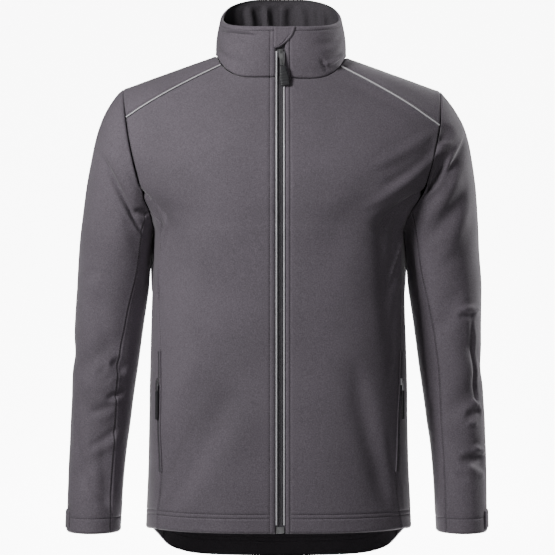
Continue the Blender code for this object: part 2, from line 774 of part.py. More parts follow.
def build_body(group):
    arm_rows = slice(SEAM_ROWS, None)
    for side in (-1, 1):
        turns = arm_turns(SEAM_TURN, YOKE_TURN[side], ARM_ROWS)
        body_wall(
            f"front_{SIDE_NAMES[side]}", front_panel(side), CLOTH_LOOK, group,
            [((arm_rows, 0), turns, side)], [(-1, slice(YOKE_COLUMNS, None))], (-1,), (0,),
        )
        body_wall(
            f"side_{SIDE_NAMES[side]}", side_panel(side), SHADE_LOOK, group,
            [((-1, slice(None)), under_turns(), side)], [], (-1,), (0, -1),
        )
        points, outward = shoulder(*np.moveaxis(yoke(side), -1, 0))
        lean_edges(points, outward, [((slice(None), 0), yoke_turns(side), side)], [(slice(None), -1)])
        wall(f"yoke_{SIDE_NAMES[side]}", points, outward, CLOTH, CLOTH_LOOK, group, (0, -1), (0, -1))
    turns = arm_turns(-SEAM_TURN, -BACK_YOKE_TURN, ARM_ROWS)
    neck_columns = slice(YOKE_COLUMNS, YOKE_COLUMNS + 2 * NECK_BACK_COLUMNS + 1)
    body_wall(
        "back", back_panel(), CLOTH_LOOK, group,
        [((arm_rows, 0), turns, -1), ((arm_rows, -1), turns, 1)], [(-1, neck_columns)], (-1,), (0, -1),
    )


def sleeve_wall(name, base_turns, side, look, group):
    """One piece of a sleeve between its seams; the turns are those of its points at the armhole."""
    rings = np.linspace(0, LAST_RING, SLEEVE_RINGS + 1)
    grid = sleeve_turns(base_turns, rings)
    points, outward = sleeve(grid, rings[:, None] + 0 * grid, side)
    outward[0] = arm_lean(points[0], outward[0], base_turns, side)
    points = points + arm_axis(side) * SEAM_GAP * np.clip(1 - rings, 0, 1)[:, None, None]
    return wall(name, points, outward, CLOTH, look, group, (), (0, -1))


def sleeve_turns(base_turns, rings):
    """Turns of a sleeve piece's points on each ring, following its seams."""
    front = np.radians(smooth(rings, SLEEVE_SEAM["ring"], SLEEVE_SEAM["front"]))[:, None]
    back = np.radians(smooth(rings, SLEEVE_SEAM["ring"], SLEEVE_SEAM["back"]))[:, None]
    base = base_turns[None]
    under = (base - SEAM_TURN) / (2 * math.pi - 2 * SEAM_TURN)
    upper = np.where(base > 0, base * front / SEAM_TURN, base * back / SEAM_TURN)
    return np.where(base > SEAM_TURN + 1e-9, front + (2 * math.pi - back - front) * under, upper)


def build_sleeves(group):
    for side in (-1, 1):
        upper = joined(
            arm_turns(SEAM_TURN, YOKE_TURN[side], ARM_ROWS),
            arm_turns(YOKE_TURN[side], -BACK_YOKE_TURN, YOKE_ROWS),
            arm_turns(-BACK_YOKE_TURN, -SEAM_TURN, ARM_ROWS),
        )
        sleeve_wall(f"sleeve_upper_{SIDE_NAMES[side]}", upper, side, CLOTH_LOOK, group)
        sleeve_wall(f"sleeve_under_{SIDE_NAMES[side]}", under_turns(), side, SHADE_LOOK, group)


def collar_columns():
    """Angles round the neck from the opening's -X side by the back to its +X side."""
    halves = {}
    for side in (-1, 1):
        turns = joined(*[np.linspace(first, last, count + 1) for first, last, count in neck_parts(side)])
        halves[side] = math.pi - turns if side < 0 else turns + 2 * math.pi
    return joined(halves[-1], halves[1][::-1])


def build_collar(group):
    rho = collar_columns()[None, :]
    share = np.linspace(0, 1, COLLAR_ROWS + 1)[:, None]
    points, outward = collar(rho, share)
    x, face = points[0, :, 0], np.where(np.sin(rho[0]) < 0, -1, 1)
    _, below = shoulder(x, roll_of(x, points[0, :, 2], face))
    outward[0] = neck_lean(points[0], below)
    wall("collar", points, outward, COLLAR_CLOTH, CLOTH_LOOK, group, (0,), ())


def opening_grid(xs, lift, low_z, high_share):
    """Points and normals in front of the opening, rows from the hem up into the collar."""
    xs = np.asarray(xs, float)[None, :]
    share = np.abs(xs - NECK_X) / NECK_HALF
    rho = np.arccos(np.sign(xs - NECK_X) * share ** (NECK_FULLNESS / 2))
    neck_z = plain_collar(rho, 0 * rho)[..., 2]
    z = low_z + (neck_z - SEAM_GAP * 4 - low_z) * np.linspace(0, 1, STRIP_ROWS + 1)[:, None]
    low_points, low_outward = body(angle_of(xs + 0 * z, z, 1), z)
    up = np.linspace(STRIP_COLLAR_START, high_share, STRIP_COLLAR_ROWS + 1)[:, None]
    high_points, high_outward = collar(rho, up)
    points = np.concatenate([low_points, high_points])
    outward = np.concatenate([low_outward, high_outward])
    return points + outward * lift, outward


def tube(name, points, radius, look, group):
    curve = bpy.data.curves.new(name, "CURVE")
    curve.dimensions = "3D"
    curve.bevel_depth = radius
    curve.bevel_resolution = 1
    curve.use_fill_caps = True
    line = curve.splines.new("POLY")
    line.points.add(len(points) - 1)
    for place, point in zip(line.points, points):
        place.co = (*point, 1)
    made = bpy.data.objects.new(name, curve)
    curve.materials.append(material(name, *look))
    group.objects.link(made)
    return made


def facing_angle(outward):
    """Turn about Z that points a block's front (-Y) along a horizontal direction."""
    return math.atan2(outward[0], -outward[1])


def block(name, size, centre, look, group, rotation=(0, 0, 0), parent=None, bevel=0.4 * MM):
    """A box with softened edges. Its size is across, out and up."""
    bpy.ops.mesh.primitive_cube_add(size=1)
    made = bpy.context.object
    made.name = name
    for vertex in made.data.vertices:
        vertex.co = [value * length for value, length in zip(vertex.co, size)]
    made.location = centre
    made.rotation_euler = rotation
    made.parent = parent
    for collection in list(made.users_collection):
        collection.objects.unlink(made)
    group.objects.link(made)
    if look:
        made.data.materials.append(material(name, *look))
    if bevel:
        rounding = made.modifiers.new("rounding", "BEVEL")
        rounding.width = bevel
        rounding.segments = 1
    return made


def combined(target, tool, operation):
    """Joins or cuts a block with a hidden one."""
    tool.hide_render = True
    tool.display_type = "WIRE"
    change = target.modifiers.new(operation.lower(), "BOOLEAN")
    change.operation = operation
    change.object = tool
    return target


def pivot(name, place, rotation, group):
    made = bpy.data.objects.new(name, None)
    made.location = place
    made.rotation_euler = rotation
    group.objects.link(made)
    return made


def pull(name, hinge, link_size, tab_size, group, cutters):
    """A pull that hangs from its hinge: a forked metal link and a moulded tab below it."""
    link_middle = LINK_TOP - link_size[2] / 2
    link = block(f"{name}_link", link_size, (0, 0, link_middle), METAL_LOOK, group, parent=hinge)
    fork_middle = LINK_TOP - PULL_SLOT[2] / 2 + CLEAR
    fork = block(f"{name}_fork", PULL_SLOT, (0, 0, fork_middle), None, cutters, parent=hinge, bevel=0)
    combined(link, fork, "DIFFERENCE")
    tab_middle = LINK_TOP - link_size[2] - SEAM_GAP - tab_size[2] / 2
    block(f"{name}_tab", tab_size, (0, 0, tab_middle), RUBBER_LOOK, group, parent=hinge, bevel=PULL_BEVEL)


def build_opening(group, cutters):
    for side in (-1, 1):
        inner_x = ZIP_X + side * HALF_GAP
        xs = sorted((inner_x, inner_x + side * TAPE_WIDTH))
        points, outward = opening_grid(xs, TAPE_LIFT, HEM_Z + 2 * MM, TAPE_TOP)
        wall(f"zip_tape_{SIDE_NAMES[side]}", points, outward, TAPE_THICK, SHADE_LOOK, group)
        points, _ = opening_grid([PIPING_X[side]], PIPING_LIFT, PIPING_LOW_Z, PIPING_TOP)
        tube(f"zip_piping_{SIDE_NAMES[side]}", points[:, 0], PIPING_RADIUS, SILVER_LOOK, group)
        x, z = yoke_seam(side, 1)
        seam, outward = body(angle_of(x, z, 1), z)
        seam = seam + outward * (PIPING_RADIUS + SEAM_GAP)
        ends = unit(seam[-1] - seam[0]) * PIPING_END
        seam[0] += ends
        seam[-1] -= ends
        tube(f"yoke_piping_{SIDE_NAMES[side]}", seam, PIPING_RADIUS, SILVER_LOOK, group)
    face_y = body_face_y(BOX_Z)
    block("zip_box", BOX_SIZE, (BOX_X, face_y - BOX_LIFT, BOX_Z), METAL_LOOK, group)
    face_y = collar_face_y(SLIDER_Z)
    slider = block("zip_slider", SLIDER_SIZE, (ZIP_X, face_y - SLIDER_LIFT, SLIDER_Z), METAL_LOOK, group)
    crown_y = face_y - PIVOT_LIFT + CROWN_SIZE[1] / 2 - CROWN_SINK
    crown = block("zip_crown", CROWN_SIZE, (ZIP_X, crown_y, PIVOT_Z), None, cutters, bevel=0)
    combined(slider, crown, "UNION")
    hinge = pivot("zip_pull_hinge", (ZIP_X, face_y - PIVOT_LIFT, PIVOT_Z), (PULL_LEAN, PULL_TILT, 0), group)
    pull("zip_pull", hinge, LINK_SIZE, GRIP_SIZE, group, cutters)


def body_face_y(z):
    points, _ = body(angle_of(np.array([ZIP_X]), np.array([z]), 1), np.array([z]))
    return float(points[0, 1])


def collar_face_y(z):
    """Depth of the collar's face at the zip, at a height."""
    rho = math.acos((abs(ZIP_X - NECK_X) / NECK_HALF) ** (NECK_FULLNESS / 2))
    share = np.linspace(0, 1, COLLAR_SAMPLES)
    points = plain_collar(np.full(COLLAR_SAMPLES, rho), share)
    return float(np.interp(z, points[:, 2], points[:, 1]))


def build_guard(group):
    """Cloth folded over the top of the zip so that it doesn't rub the chin."""
    z = np.linspace(GUARD["z"][0], GUARD["z"][-1], GUARD_ROWS + 1)
    edge_x = smooth(z, GUARD["z"], GUARD["x"])
    across = np.linspace(0, 1, GUARD_COLUMNS + 1)[None, :]
    x = GUARD_START_X + (edge_x[:, None] - GUARD_START_X) * across
    rho = np.arccos(np.sign(x - NECK_X) * (np.abs(x - NECK_X) / NECK_HALF) ** (NECK_FULLNESS / 2))
    height = COLLAR_TOP["z"][-1] * MM - COLLAR_LOW_Z
    points, outward = collar(rho, (z[:, None] - COLLAR_LOW_Z) / height)
    wall("chin_guard", points + outward * (GUARD_CLOTH + CLEAR), outward, GUARD_CLOTH, CLOTH_LOOK, group)


def build_pockets(group, cutters):
    for side in (-1, 1):
        name = SIDE_NAMES[side]
        z = np.linspace(POCKET_LOW_Z, POCKET_TOP_Z, POCKET_ROWS + 1)
        width = smooth(z, SIDE_SEAM["z"], seam_column(side))
        middle = angle_of(side * width, z, 1)[:, None]
        angle = middle + POCKET_HALF_ANGLE * np.array([-1, 0, 1])[None, :]
        points, outward = body(angle, z[:, None] + 0 * angle)
        points = points + outward * (POCKET_THICK + CLEAR)
        wall(f"pocket_zip_{name}", points, outward, POCKET_THICK, SHADE_LOOK, group)
        seam, out = seam_frame(POCKET_SLIDER_Z, side)
        turn = (0, 0, facing_angle(out))
        place = seam + out * POCKET_SLIDER_LIFT
        slider = block(f"pocket_slider_{name}", POCKET_SLIDER_SIZE, place, METAL_LOOK, group, rotation=turn)
        place = seam + out * (POCKET_PIVOT_LIFT - CROWN_SIZE[1] / 2 + CROWN_SINK)
        crown = block(f"pocket_crown_{name}", CROWN_SIZE, place, None, cutters, rotation=turn, bevel=0)
        combined(slider, crown, "UNION")
        hinge = pivot(f"pocket_pull_{name}_hinge", seam + out * POCKET_PIVOT_LIFT, turn, group)
        pull(f"pocket_pull_{name}", hinge, POCKET_LINK_SIZE, POCKET_TAB_SIZE, group, cutters)


def seam_frame(z, side):
    """Point on the side seam at a height, and the horizontal direction out of the cloth there."""
    width = smooth(np.array([z]), SIDE_SEAM["z"], seam_column(side))
    points, outward = body(angle_of(side * width, np.array([z]), 1), np.array([z]))
    out = outward[0] * np.array([1, 1, 0])
    return points[0], unit(out)


def build_cuff_tabs(group):
    for side in (-1, 1):
        turns = np.linspace(*TAB_TURNS, TAB_COLUMNS + 1)[None, :]
        rings = np.linspace(*TAB_RINGS, 2)[:, None]
        points, outward = sleeve(turns + 0 * rings, rings + 0 * turns, side)
        points = points + outward * (TAB_CLOTH + CLEAR)
        wall(f"cuff_tab_{SIDE_NAMES[side]}", points, outward, TAB_CLOTH, CLOTH_LOOK, group)


def main():
    for old in list(bpy.data.objects):
        bpy.data.objects.remove(old, do_unlink=True)
    group = bpy.data.collections.new("softshell_jacket")
    cutters = bpy.data.collections.new("cutters")
    for made in (group, cutters):
        bpy.context.scene.collection.children.link(made)
    build_body(group)
    build_sleeves(group)
    build_collar(group)
    build_opening(group, cutters)
    build_guard(group)
    build_pockets(group, cutters)
    build_cuff_tabs(group)
    cutters.hide_render = True


main()
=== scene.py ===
"""Softshell jacket: the looks. Fine cloth shells, sewing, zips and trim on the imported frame.

Metres, +Z up, the front faces -Y and +X is the wearer's left. Angles run round the body from +X (0)
by the middle of the front (90) and -X (180) to the middle of the back (270).
"""

import json
import math

import bpy
import mathutils
import numpy as np
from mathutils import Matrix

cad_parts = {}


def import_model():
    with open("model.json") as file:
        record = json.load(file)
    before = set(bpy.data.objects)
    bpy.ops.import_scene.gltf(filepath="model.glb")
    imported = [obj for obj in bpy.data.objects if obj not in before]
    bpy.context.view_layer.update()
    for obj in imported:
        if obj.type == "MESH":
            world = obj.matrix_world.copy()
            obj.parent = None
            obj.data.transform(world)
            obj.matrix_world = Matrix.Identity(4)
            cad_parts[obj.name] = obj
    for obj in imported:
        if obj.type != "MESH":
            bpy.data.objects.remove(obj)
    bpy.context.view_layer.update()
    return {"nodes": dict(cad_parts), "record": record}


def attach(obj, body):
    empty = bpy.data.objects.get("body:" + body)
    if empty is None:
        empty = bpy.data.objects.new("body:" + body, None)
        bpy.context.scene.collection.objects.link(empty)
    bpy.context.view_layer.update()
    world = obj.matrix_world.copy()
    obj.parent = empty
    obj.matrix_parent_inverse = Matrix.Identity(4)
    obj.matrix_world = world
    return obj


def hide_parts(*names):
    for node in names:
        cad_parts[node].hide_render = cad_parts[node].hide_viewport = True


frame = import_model()

MM = 0.001

def table(names, *rows, unit=MM):
    """Named columns of numbers, the first column in rising order."""
    return dict(zip(names.split(), np.array(rows, float).T * unit))

CLOTH = 1.8 * MM
COLLAR_CLOTH = 2.6 * MM
SEAM_GAP = 0.3 * MM
HALF_GAP = SEAM_GAP / 2

# Body form
FULLNESS = 2.6
MIDDLE_Y = 4 * MM
CHEST_Z = -230 * MM
SHOULDER_SLOPE = 0.364
RIDGE_REACH = 101.5 * MM
RIDGE_SOFT = 30 * MM
NAPE_RISE = 22 * MM
NAPE_WIDTH = 50 * MM
SHOULDER_TIP_Z = -50 * MM

# Neck, collar and front opening
NECK_X = 3.5 * MM
NECK_HALF = 97 * MM
NECK_FULLNESS = 2.4
COLLAR_TOP_HALF = 90 * MM
COLLAR_TOP_FRONT = 77 * MM
COLLAR_TOP_BACK = 62 * MM
COLLAR_TOP_Y = 2 * MM
COLLAR_BULGE = 2.5 * MM
OPENING_X = 2.4 * MM
OPENING_HALF = 7.0 * MM

# Hem
HEM_Z = -695 * MM

# Body sections: half widths to each side, depths in front of and behind the middle
BODY = table(
    "z left right front back",
    (-775, 198, 198, 131, 128),
    (-690, 197, 197, 131, 128),
    (-615, 194, 194, 133, 125),
    (-481, 191, 191, 134, 119),
    (-370, 188.2, 188.2, 135, 120),
    (-300, 186, 186, 135, 125),
    (-262, 184.2, 184.2, 135, 128),
    (-248, 188, 189, 134, 129),
    (-231, 196, 201, 134, 129),
    (-209, 214, 226, 133, 129),
    (-183, 229.5, 244, 132, 129),
    (-156, 243, 259, 131, 128),
    (-129, 252, 268, 129, 126),
    (-95, 260, 276, 127, 122),
    (-50, 269, 280, 124, 117),
    (60, 272, 282, 120, 110),
)

# Height of the neck seam below the shoulder line, by distance from the neck's middle
NECK = table(
    "x front back",
    (0, 64, 36),
    (30, 59.5, 25.4),
    (60, 48.5, 9.7),
    (73, 38.5, 6),
    (85, 24, 3),
    (97, 0, 0),
)

# Height in mm of the collar's top edge, by angle from the side towards the front (the back is negative)
COLLAR_TOP = table(
    "angle z",
    (-90, 94),
    (-70, 93),
    (-55, 89),
    (-40, 83.5),
    (-20, 72.5),
    (0, 58),
    (20, 48.5),
    (40, 42),
    (60, 38.5),
    (90, 37),
    unit=1,
)

# Armhole: angle from the side round to its edge, by turn from the shoulder (0) to the underarm (180)
ARMHOLE = table(
    "turn angle",
    (0, 35),
    (30, 35),
    (55, 34.5),
    (75, 34),
    (90, 33),
    (105, 30),
    (120, 25),
    (135, 17.5),
    (150, 11),
    (165, 5.5),
    (180, 0),
    unit=math.pi / 180,
)
UNDERARM_Z = -262 * MM

# Seam between front and side panel: distance from the middle, up to the armhole
SIDE_SEAM = table(
    "z left right",
    (-700, 176.5, 181),
    (-672, 176, 176),
    (-610, 171, 171.5),
    (-558, 172, 173),
    (-428, 173, 178),
    (-347, 175, 178),
    (-296, 173, 178),
    (-255, 172, 180),
)
SEAM_TURN = math.radians(135)

# Yoke seams, front and back: the turn where each meets the armhole, and where it meets the neck
YOKE_TURN = {-1: math.radians(56), 1: math.radians(62)}
YOKE_NECK = 86.5 * MM
BACK_YOKE_TURN = math.radians(60)
BACK_YOKE_NECK = 80 * MM
YOKE_BOW = 3 * MM

# Hem line below the front hem's height, by angle from the side round to the back's middle
TAIL = table("angle drop", (0, 5), (12, 11), (23, 24), (35, 44), (48, 56), (61, 62), (90, 67), unit=1)

# Soft troughs of the body: ends by angle and height, half width, depth (a ridge is negative)
BODY_FOLDS = (
    ("armhole_left", 155, -196, 146, -243, 8, 4.0),
    ("side_left", 138, -262, 134, -400, 24, 2.6),
    ("armhole_right", 29, -205, 42, -262, 20, 5.5),
    ("side_right", 41, -262, 37, -420, 18, 4.0),
    ("chest_right", 48, -130, 74, -300, 30, 3.0),
    ("lower_left", 104, -480, 136, -650, 26, 3.6),
    ("lower_left_ridge", 122, -440, 146, -560, 22, -3.0),
    ("lower_right", 62, -460, 43, -640, 24, 3.6),
    ("back_left", 212, -215, 246, -300, 26, 4.5),
    ("back_right", 328, -215, 292, -310, 26, 4.5),
    ("back_waist_left", 216, -400, 256, -455, 26, 4.0),
    ("back_waist_right", 322, -415, 286, -470, 26, 4.0),
)
FOLD_RADIUS = 170 * MM
FOLD_END = 0.4

# Steps between the points that a normal is worked out from
TURN_STEP = 0.004
LENGTH_STEP = 0.5 * MM
RING_STEP = 0.02
SHARE_STEP = 0.02

# How the end of a wall leans where three pieces meet
NECK_LEAN_Y = -6 * MM
ARM_LEAN_TOP = 0.3
ARM_LEAN_LOW = 0.9

# Sleeve rings from the armhole to the cuff: outer line, inner line, half depth and middle
SLEEVE = table(
    "outer_left outer_right outer_z inner_x inner_z half_depth middle_y",
    (231, 240, -49, 184.4, -262, 76, 6),
    (240, 246, -56, 186.5, -268, 78, 6),
    (250, 256, -69, 188, -277, 78, 6),
    (259, 265.5, -84, 189, -288, 77, 6),
    (267, 275.5, -103, 190, -302, 75, 6),
    (274, 283, -127, 191.5, -320, 72, 6),
    (280, 288.5, -155, 193.5, -345, 69, 7),
    (287, 294, -195, 197, -370, 66, 8),
    (293, 297.5, -240, 201, -396, 63, 9),
    (298, 300, -290, 205, -424, 60, 10),
    (301, 303.5, -345, 209, -454, 58, 10),
    (304, 303, -400, 213.5, -484, 56, 9),
    (306.5, 303.5, -455, 217.5, -514, 54.5, 7),
    (307.5, 305.5, -505, 221, -545, 53, 4),
    (309.5, 308, -550, 225, -575, 51, 0),
    (311, 309, -592, 228, -605, 49, -6),
    (312, 308.5, -632, 230, -638, 47, -14),
    (312.5, 308, -668, 231, -671, 45.5, -22),
    (313, 308, -702, 232.5, -702, 44, -29),
)
LAST_RING = 18
CAP_FADE = 5

# Sleeve seams: turn of the front and of the back seam, by ring
SLEEVE_SEAM = table(
    "ring front back",
    (0, 135, 135),
    (6, 133, 130),
    (9, 125, 126),
    (11, 121, 124),
    (14, 129, 121),
    (18, 133, 118),
    unit=1,
)
SLEEVE_RADIUS = 48 * MM

# Soft troughs of the sleeves: ends by turn and height, half width, depth
SLEEVE_FOLDS = {
    -1: (
        ("cap_crease", 45, -157, 124, -250, 9, 4.5),
        ("elbow_high", 120, -420, 40, -470, 16, 3.4),
        ("elbow_mid", 40, -500, 118, -560, 17, 3.6),
        ("forearm", 100, -590, 30, -640, 15, 3.0),
        ("outer_elbow", -70, -400, 20, -450, 18, 3.5),
        ("outer_forearm", -80, -540, -10, -590, 16, 3.0),
    ),
    1: (
        ("cap_crease", 30, -125, 84, -190, 9, 4.0),
        ("cap_hollow", 72, -160, 108, -212, 11, 5.5),
        ("elbow_high", 112, -395, 30, -450, 16, 3.8),
        ("elbow_mid", 30, -478, 112, -530, 16, 3.6),
        ("forearm", 110, -560, 30, -612, 16, 3.4),
        ("outer_elbow", -70, -420, 16, -470, 18, 3.5),
        ("outer_forearm", -80, -530, -10, -580, 16, 3.0),
    ),
}
SIDE_NAMES = {-1: "right", 1: "left"}

# Opening and its zip: distances across are from the garment's middle, lifts from the cloth's face
ZIP_X = 3.0 * MM
TAPE_WIDTH = 11 * MM
TAPE_THICK = 0.9 * MM
TAPE_LIFT = -3.6 * MM
TAPE_TOP = 0.97
PIPING_RADIUS = 1.1 * MM
PIPING_X = {-1: -3.0 * MM, 1: 8.0 * MM}
PIPING_LIFT = -0.5 * MM
PIPING_LOW_Z = -682 * MM
PIPING_TOP = 0.5
PIPING_END = 2 * MM
STRIP_ROWS = 160
STRIP_COLLAR_ROWS = 24
STRIP_COLLAR_START = 0.03
BOX_SIZE = (11.6 * MM, 4.4 * MM, 9 * MM)
BOX_X = 2.4 * MM
BOX_Z = -689 * MM
BOX_LIFT = -1.05 * MM
SLIDER_SIZE = (7.0 * MM, 4.8 * MM, 12 * MM)
SLIDER_Z = -3 * MM
SLIDER_LIFT = -0.8 * MM
PIVOT_LIFT = 3.4 * MM
PIVOT_Z = -0.5 * MM
PULL_LEAN = math.radians(-5)
PULL_TILT = math.radians(-8)
LINK_SIZE = (6.6 * MM, 1.4 * MM, 22 * MM)
GRIP_SIZE = (13 * MM, 3.2 * MM, 30 * MM)
LINK_TOP = 1.2 * MM

# Guard over the top of the zip: its free edge, by height
GUARD = table("z x", (4.5, -1), (10.8, 9.4), (22.4, 21), (36.2, 26.8))
GUARD_START_X = -7 * MM
GUARD_CLOTH = 1.6 * MM
COLLAR_LOW_Z = -38 * MM
COLLAR_SAMPLES = 41

# Pocket zips in the side seams
POCKET_TOP_Z = -435 * MM
POCKET_LOW_Z = -610 * MM
POCKET_HALF_ANGLE = 0.026
POCKET_THICK = 1.2 * MM
POCKET_ROWS = 8
POCKET_SLIDER_Z = -480 * MM
POCKET_SLIDER_SIZE = (6 * MM, 2.4 * MM, 10 * MM)
POCKET_SLIDER_LIFT = 3.0 * MM
POCKET_PIVOT_LIFT = 5.6 * MM
POCKET_LINK_SIZE = (5.4 * MM, 1.3 * MM, 14 * MM)
POCKET_TAB_SIZE = (6.4 * MM, 2.4 * MM, 42 * MM)

# Cuff tabs: turns round the sleeve and ring numbers of their edges
TAB_TURNS = (math.radians(-62), math.radians(34))
TAB_RINGS = (17.08, 17.84)
TAB_CLOTH = 1.8 * MM
CLEAR = 0.35 * MM

def smooth(at, xs, ys):
    """Cubic interpolation that never overshoots its points."""
    at = np.clip(np.asarray(at, float), xs[0], xs[-1])
    step = np.diff(xs)
    slope = np.diff(ys) / step
    tangent = np.concatenate([slope[:1], (slope[:-1] + slope[1:]) / 2, slope[-1:]])
    flat = slope[:-1] * slope[1:] <= 0
    tangent[1:-1][flat] = 0
    least = np.minimum(abs(slope[:-1]), abs(slope[1:])) * 3
    tangent[1:-1] = np.clip(tangent[1:-1], -least, least)
    i = np.clip(np.searchsorted(xs, at, side="right") - 1, 0, len(step) - 1)
    u = (at - xs[i]) / step[i]
    start = ys[i] * (1 + 2 * u) * (1 - u) ** 2 + tangent[i] * step[i] * u * (1 - u) ** 2
    return start + ys[i + 1] * u**2 * (3 - 2 * u) + tangent[i + 1] * step[i] * u**2 * (u - 1)


def signed_power(value, power):
    return np.sign(value) * np.abs(value) ** power


def half_width(z, side):
    return np.where(side < 0, smooth(z, BODY["z"], BODY["left"]), smooth(z, BODY["z"], BODY["right"]))


def depth(z, face):
    """Depth of the body in front of its middle (face 1) or behind it (face -1)."""
    return np.where(face > 0, smooth(z, BODY["z"], BODY["front"]), smooth(z, BODY["z"], BODY["back"]))


def ridge(x, face):
    """Height of the shoulder line, which climbs on towards the nape behind the neck."""
    line = SHOULDER_SLOPE * (RIDGE_REACH - np.sqrt(x**2 + RIDGE_SOFT**2))
    return line + np.where(face < 0, NAPE_RISE * np.exp(-((x / NAPE_WIDTH) ** 2)), 0)


def angle_of(x, z, face):
    """Angle round the body of the point at this width and height, in front or behind."""
    share = np.clip(np.abs(x) / half_width(z, np.sign(x)), 0, 1)
    angle = np.arccos(np.sign(x) * share ** (FULLNESS / 2))
    return np.where(face > 0, angle, 2 * math.pi - angle)


def folds(angle, z, rows):
    """Height of the folds above the plain form."""
    total = np.zeros(np.broadcast(angle, z).shape)
    for _, a0, z0, a1, z1, width, deep in rows:
        start = np.array([math.radians(a0) * FOLD_RADIUS, z0 * MM])
        along = np.array([math.radians(a1) * FOLD_RADIUS, z1 * MM]) - start
        length = np.hypot(*along)
        px = angle * FOLD_RADIUS - start[0]
        pz = z - start[1]
        run = (px * along[0] + pz * along[1]) / length**2
        off = (px * along[1] - pz * along[0]) / length
        ends = np.clip(np.minimum(run, 1 - run) / FOLD_END + 0.5, 0, 1)
        total -= deep * MM * np.exp(-((off / (width * MM)) ** 2)) * ends**2 * (3 - 2 * ends)
    return total


def plain_body(angle, z):
    """Point of the body's smooth form at this angle and height."""
    c, s = np.cos(angle), np.sin(angle)
    x = half_width(z, np.sign(c)) * signed_power(c, 2 / FULLNESS)
    top = ridge(x, s)
    share = np.clip((top - z) / (top - CHEST_Z), 0, 1)
    out = depth(z, s) * np.abs(s) ** (2 / FULLNESS) * np.sqrt(1 - (1 - share) ** 2)
    return np.stack([x, MIDDLE_Y - np.sign(s) * out, z + 0 * x], -1)


def plain_shoulder(x, roll):
    """Point of the same form over the shoulder line, by width and roll from the line to the front."""
    face = np.where(roll < 0, -1, 1)
    top = ridge(x, face)
    z = top - (top - CHEST_Z) * (1 - np.cos(roll))
    share = np.clip(np.abs(x) / half_width(z, np.sign(x)), 0, 1)
    out = depth(z, face) * (1 - share**FULLNESS) ** (1 / FULLNESS) * np.sin(roll)
    return np.stack([x, MIDDLE_Y - out, z], -1)


def normals_of(form, a, b, step_a, step_b):
    """Outward unit normals of a form of two values."""
    across = form(a + step_a, b) - form(a - step_a, b)
    up = form(a, b + step_b) - form(a, b - step_b)
    found = np.cross(across, up)
    return found / np.linalg.norm(found, axis=-1, keepdims=True)


def body(angle, z):
    """Points and outward normals on the folded body."""
    points = plain_body(angle, z)
    outward = -normals_of(plain_body, angle, z, TURN_STEP, LENGTH_STEP)
    return points + outward * folds(angle, z, BODY_FOLDS)[..., None], outward


def shoulder(x, roll):
    outward = -normals_of(plain_shoulder, x, roll, LENGTH_STEP, TURN_STEP)
    return plain_shoulder(x, roll), outward


def roll_of(x, z, face):
    top = ridge(x, face)
    return face * np.arccos(np.clip(1 - (top - z) / (top - CHEST_Z), 0, 1))


def armhole(turn, side):
    """Width and height of the armhole's edge. The turn is positive in front and negative behind."""
    angle = smooth(np.abs(turn), ARMHOLE["turn"], ARMHOLE["angle"])
    top_x = half_width(SHOULDER_TIP_Z, side) * math.cos(ARMHOLE["angle"][0]) ** (2 / FULLNESS)
    z = UNDERARM_Z + (ridge(top_x, 1) - UNDERARM_Z) * (1 + np.cos(turn)) / 2
    return side * half_width(z, side) * np.cos(angle) ** (2 / FULLNESS), z


def plain_sleeve(turn, ring, side):
    """Point of a sleeve's smooth form by turn round it (0 outermost, 90 in front) and ring number."""
    rings = np.arange(LAST_RING + 1.0)

    def value(name, at):
        return smooth(at, rings, SLEEVE[name])

    def ellipse(at):
        outer_x = value("outer_left" if side < 0 else "outer_right", at)
        mid_x, half_x = (outer_x + value("inner_x", at)) / 2, (outer_x - value("inner_x", at)) / 2
        mid_z = (value("outer_z", at) + value("inner_z", at)) / 2
        half_z = (value("outer_z", at) - value("inner_z", at)) / 2
        x = side * (mid_x + half_x * np.cos(turn))
        y = value("middle_y", at) - value("half_depth", at) * np.sin(turn)
        return np.stack([x, y, mid_z + half_z * np.cos(turn)], -1)

    wrapped = (turn + math.pi) % (2 * math.pi) - math.pi
    edge_x, edge_z = armhole(wrapped, side)
    start = edge_point(edge_x, edge_z, np.where(wrapped < 0, -1, 1))
    fade = np.clip(1 - ring / CAP_FADE, 0, 1) ** 2
    return ellipse(ring) + (start - ellipse(0 * ring)) * fade[..., None]


def edge_point(x, z, face):
    """Point of the body's folded form at a width and height, in front or behind."""
    points, _ = body(angle_of(x, z, face), z)
    return points


def sleeve(turn, ring, side):
    """Points and outward normals on a folded sleeve."""
    points = plain_sleeve(turn, ring, side)
    outward = side * normals_of(lambda a, b: plain_sleeve(a, b, side), turn, ring, TURN_STEP, RING_STEP)
    wrapped = (turn + math.pi) % (2 * math.pi) - math.pi
    fade = np.clip(ring / 2, 0, 1)
    raised = folds(wrapped * SLEEVE_RADIUS / FOLD_RADIUS, points[..., 2], sleeve_rows(side)) * fade
    return points + outward * raised[..., None], outward


def sleeve_rows(side):
    scale = SLEEVE_RADIUS / FOLD_RADIUS
    return [(name, a0 * scale, z0, a1 * scale, z1, w, d) for name, a0, z0, a1, z1, w, d in SLEEVE_FOLDS[side]]


def coons(bottom, top, left, right):
    """Patch between four edges given as rows of two values; rows run up, columns from left to right."""
    u = np.linspace(0, 1, len(bottom))[None, :, None]
    v = np.linspace(0, 1, len(left))[:, None, None]
    flat = (1 - v) * bottom[None] + v * top[None] + (1 - u) * left[:, None] + u * right[:, None]
    low = (1 - u) * bottom[0] + u * bottom[-1]
    high = (1 - u) * top[0] + u * top[-1]
    return flat - (1 - v) * low - v * high


def pairs(a, b):
    return np.stack(np.broadcast_arrays(a, b), -1)


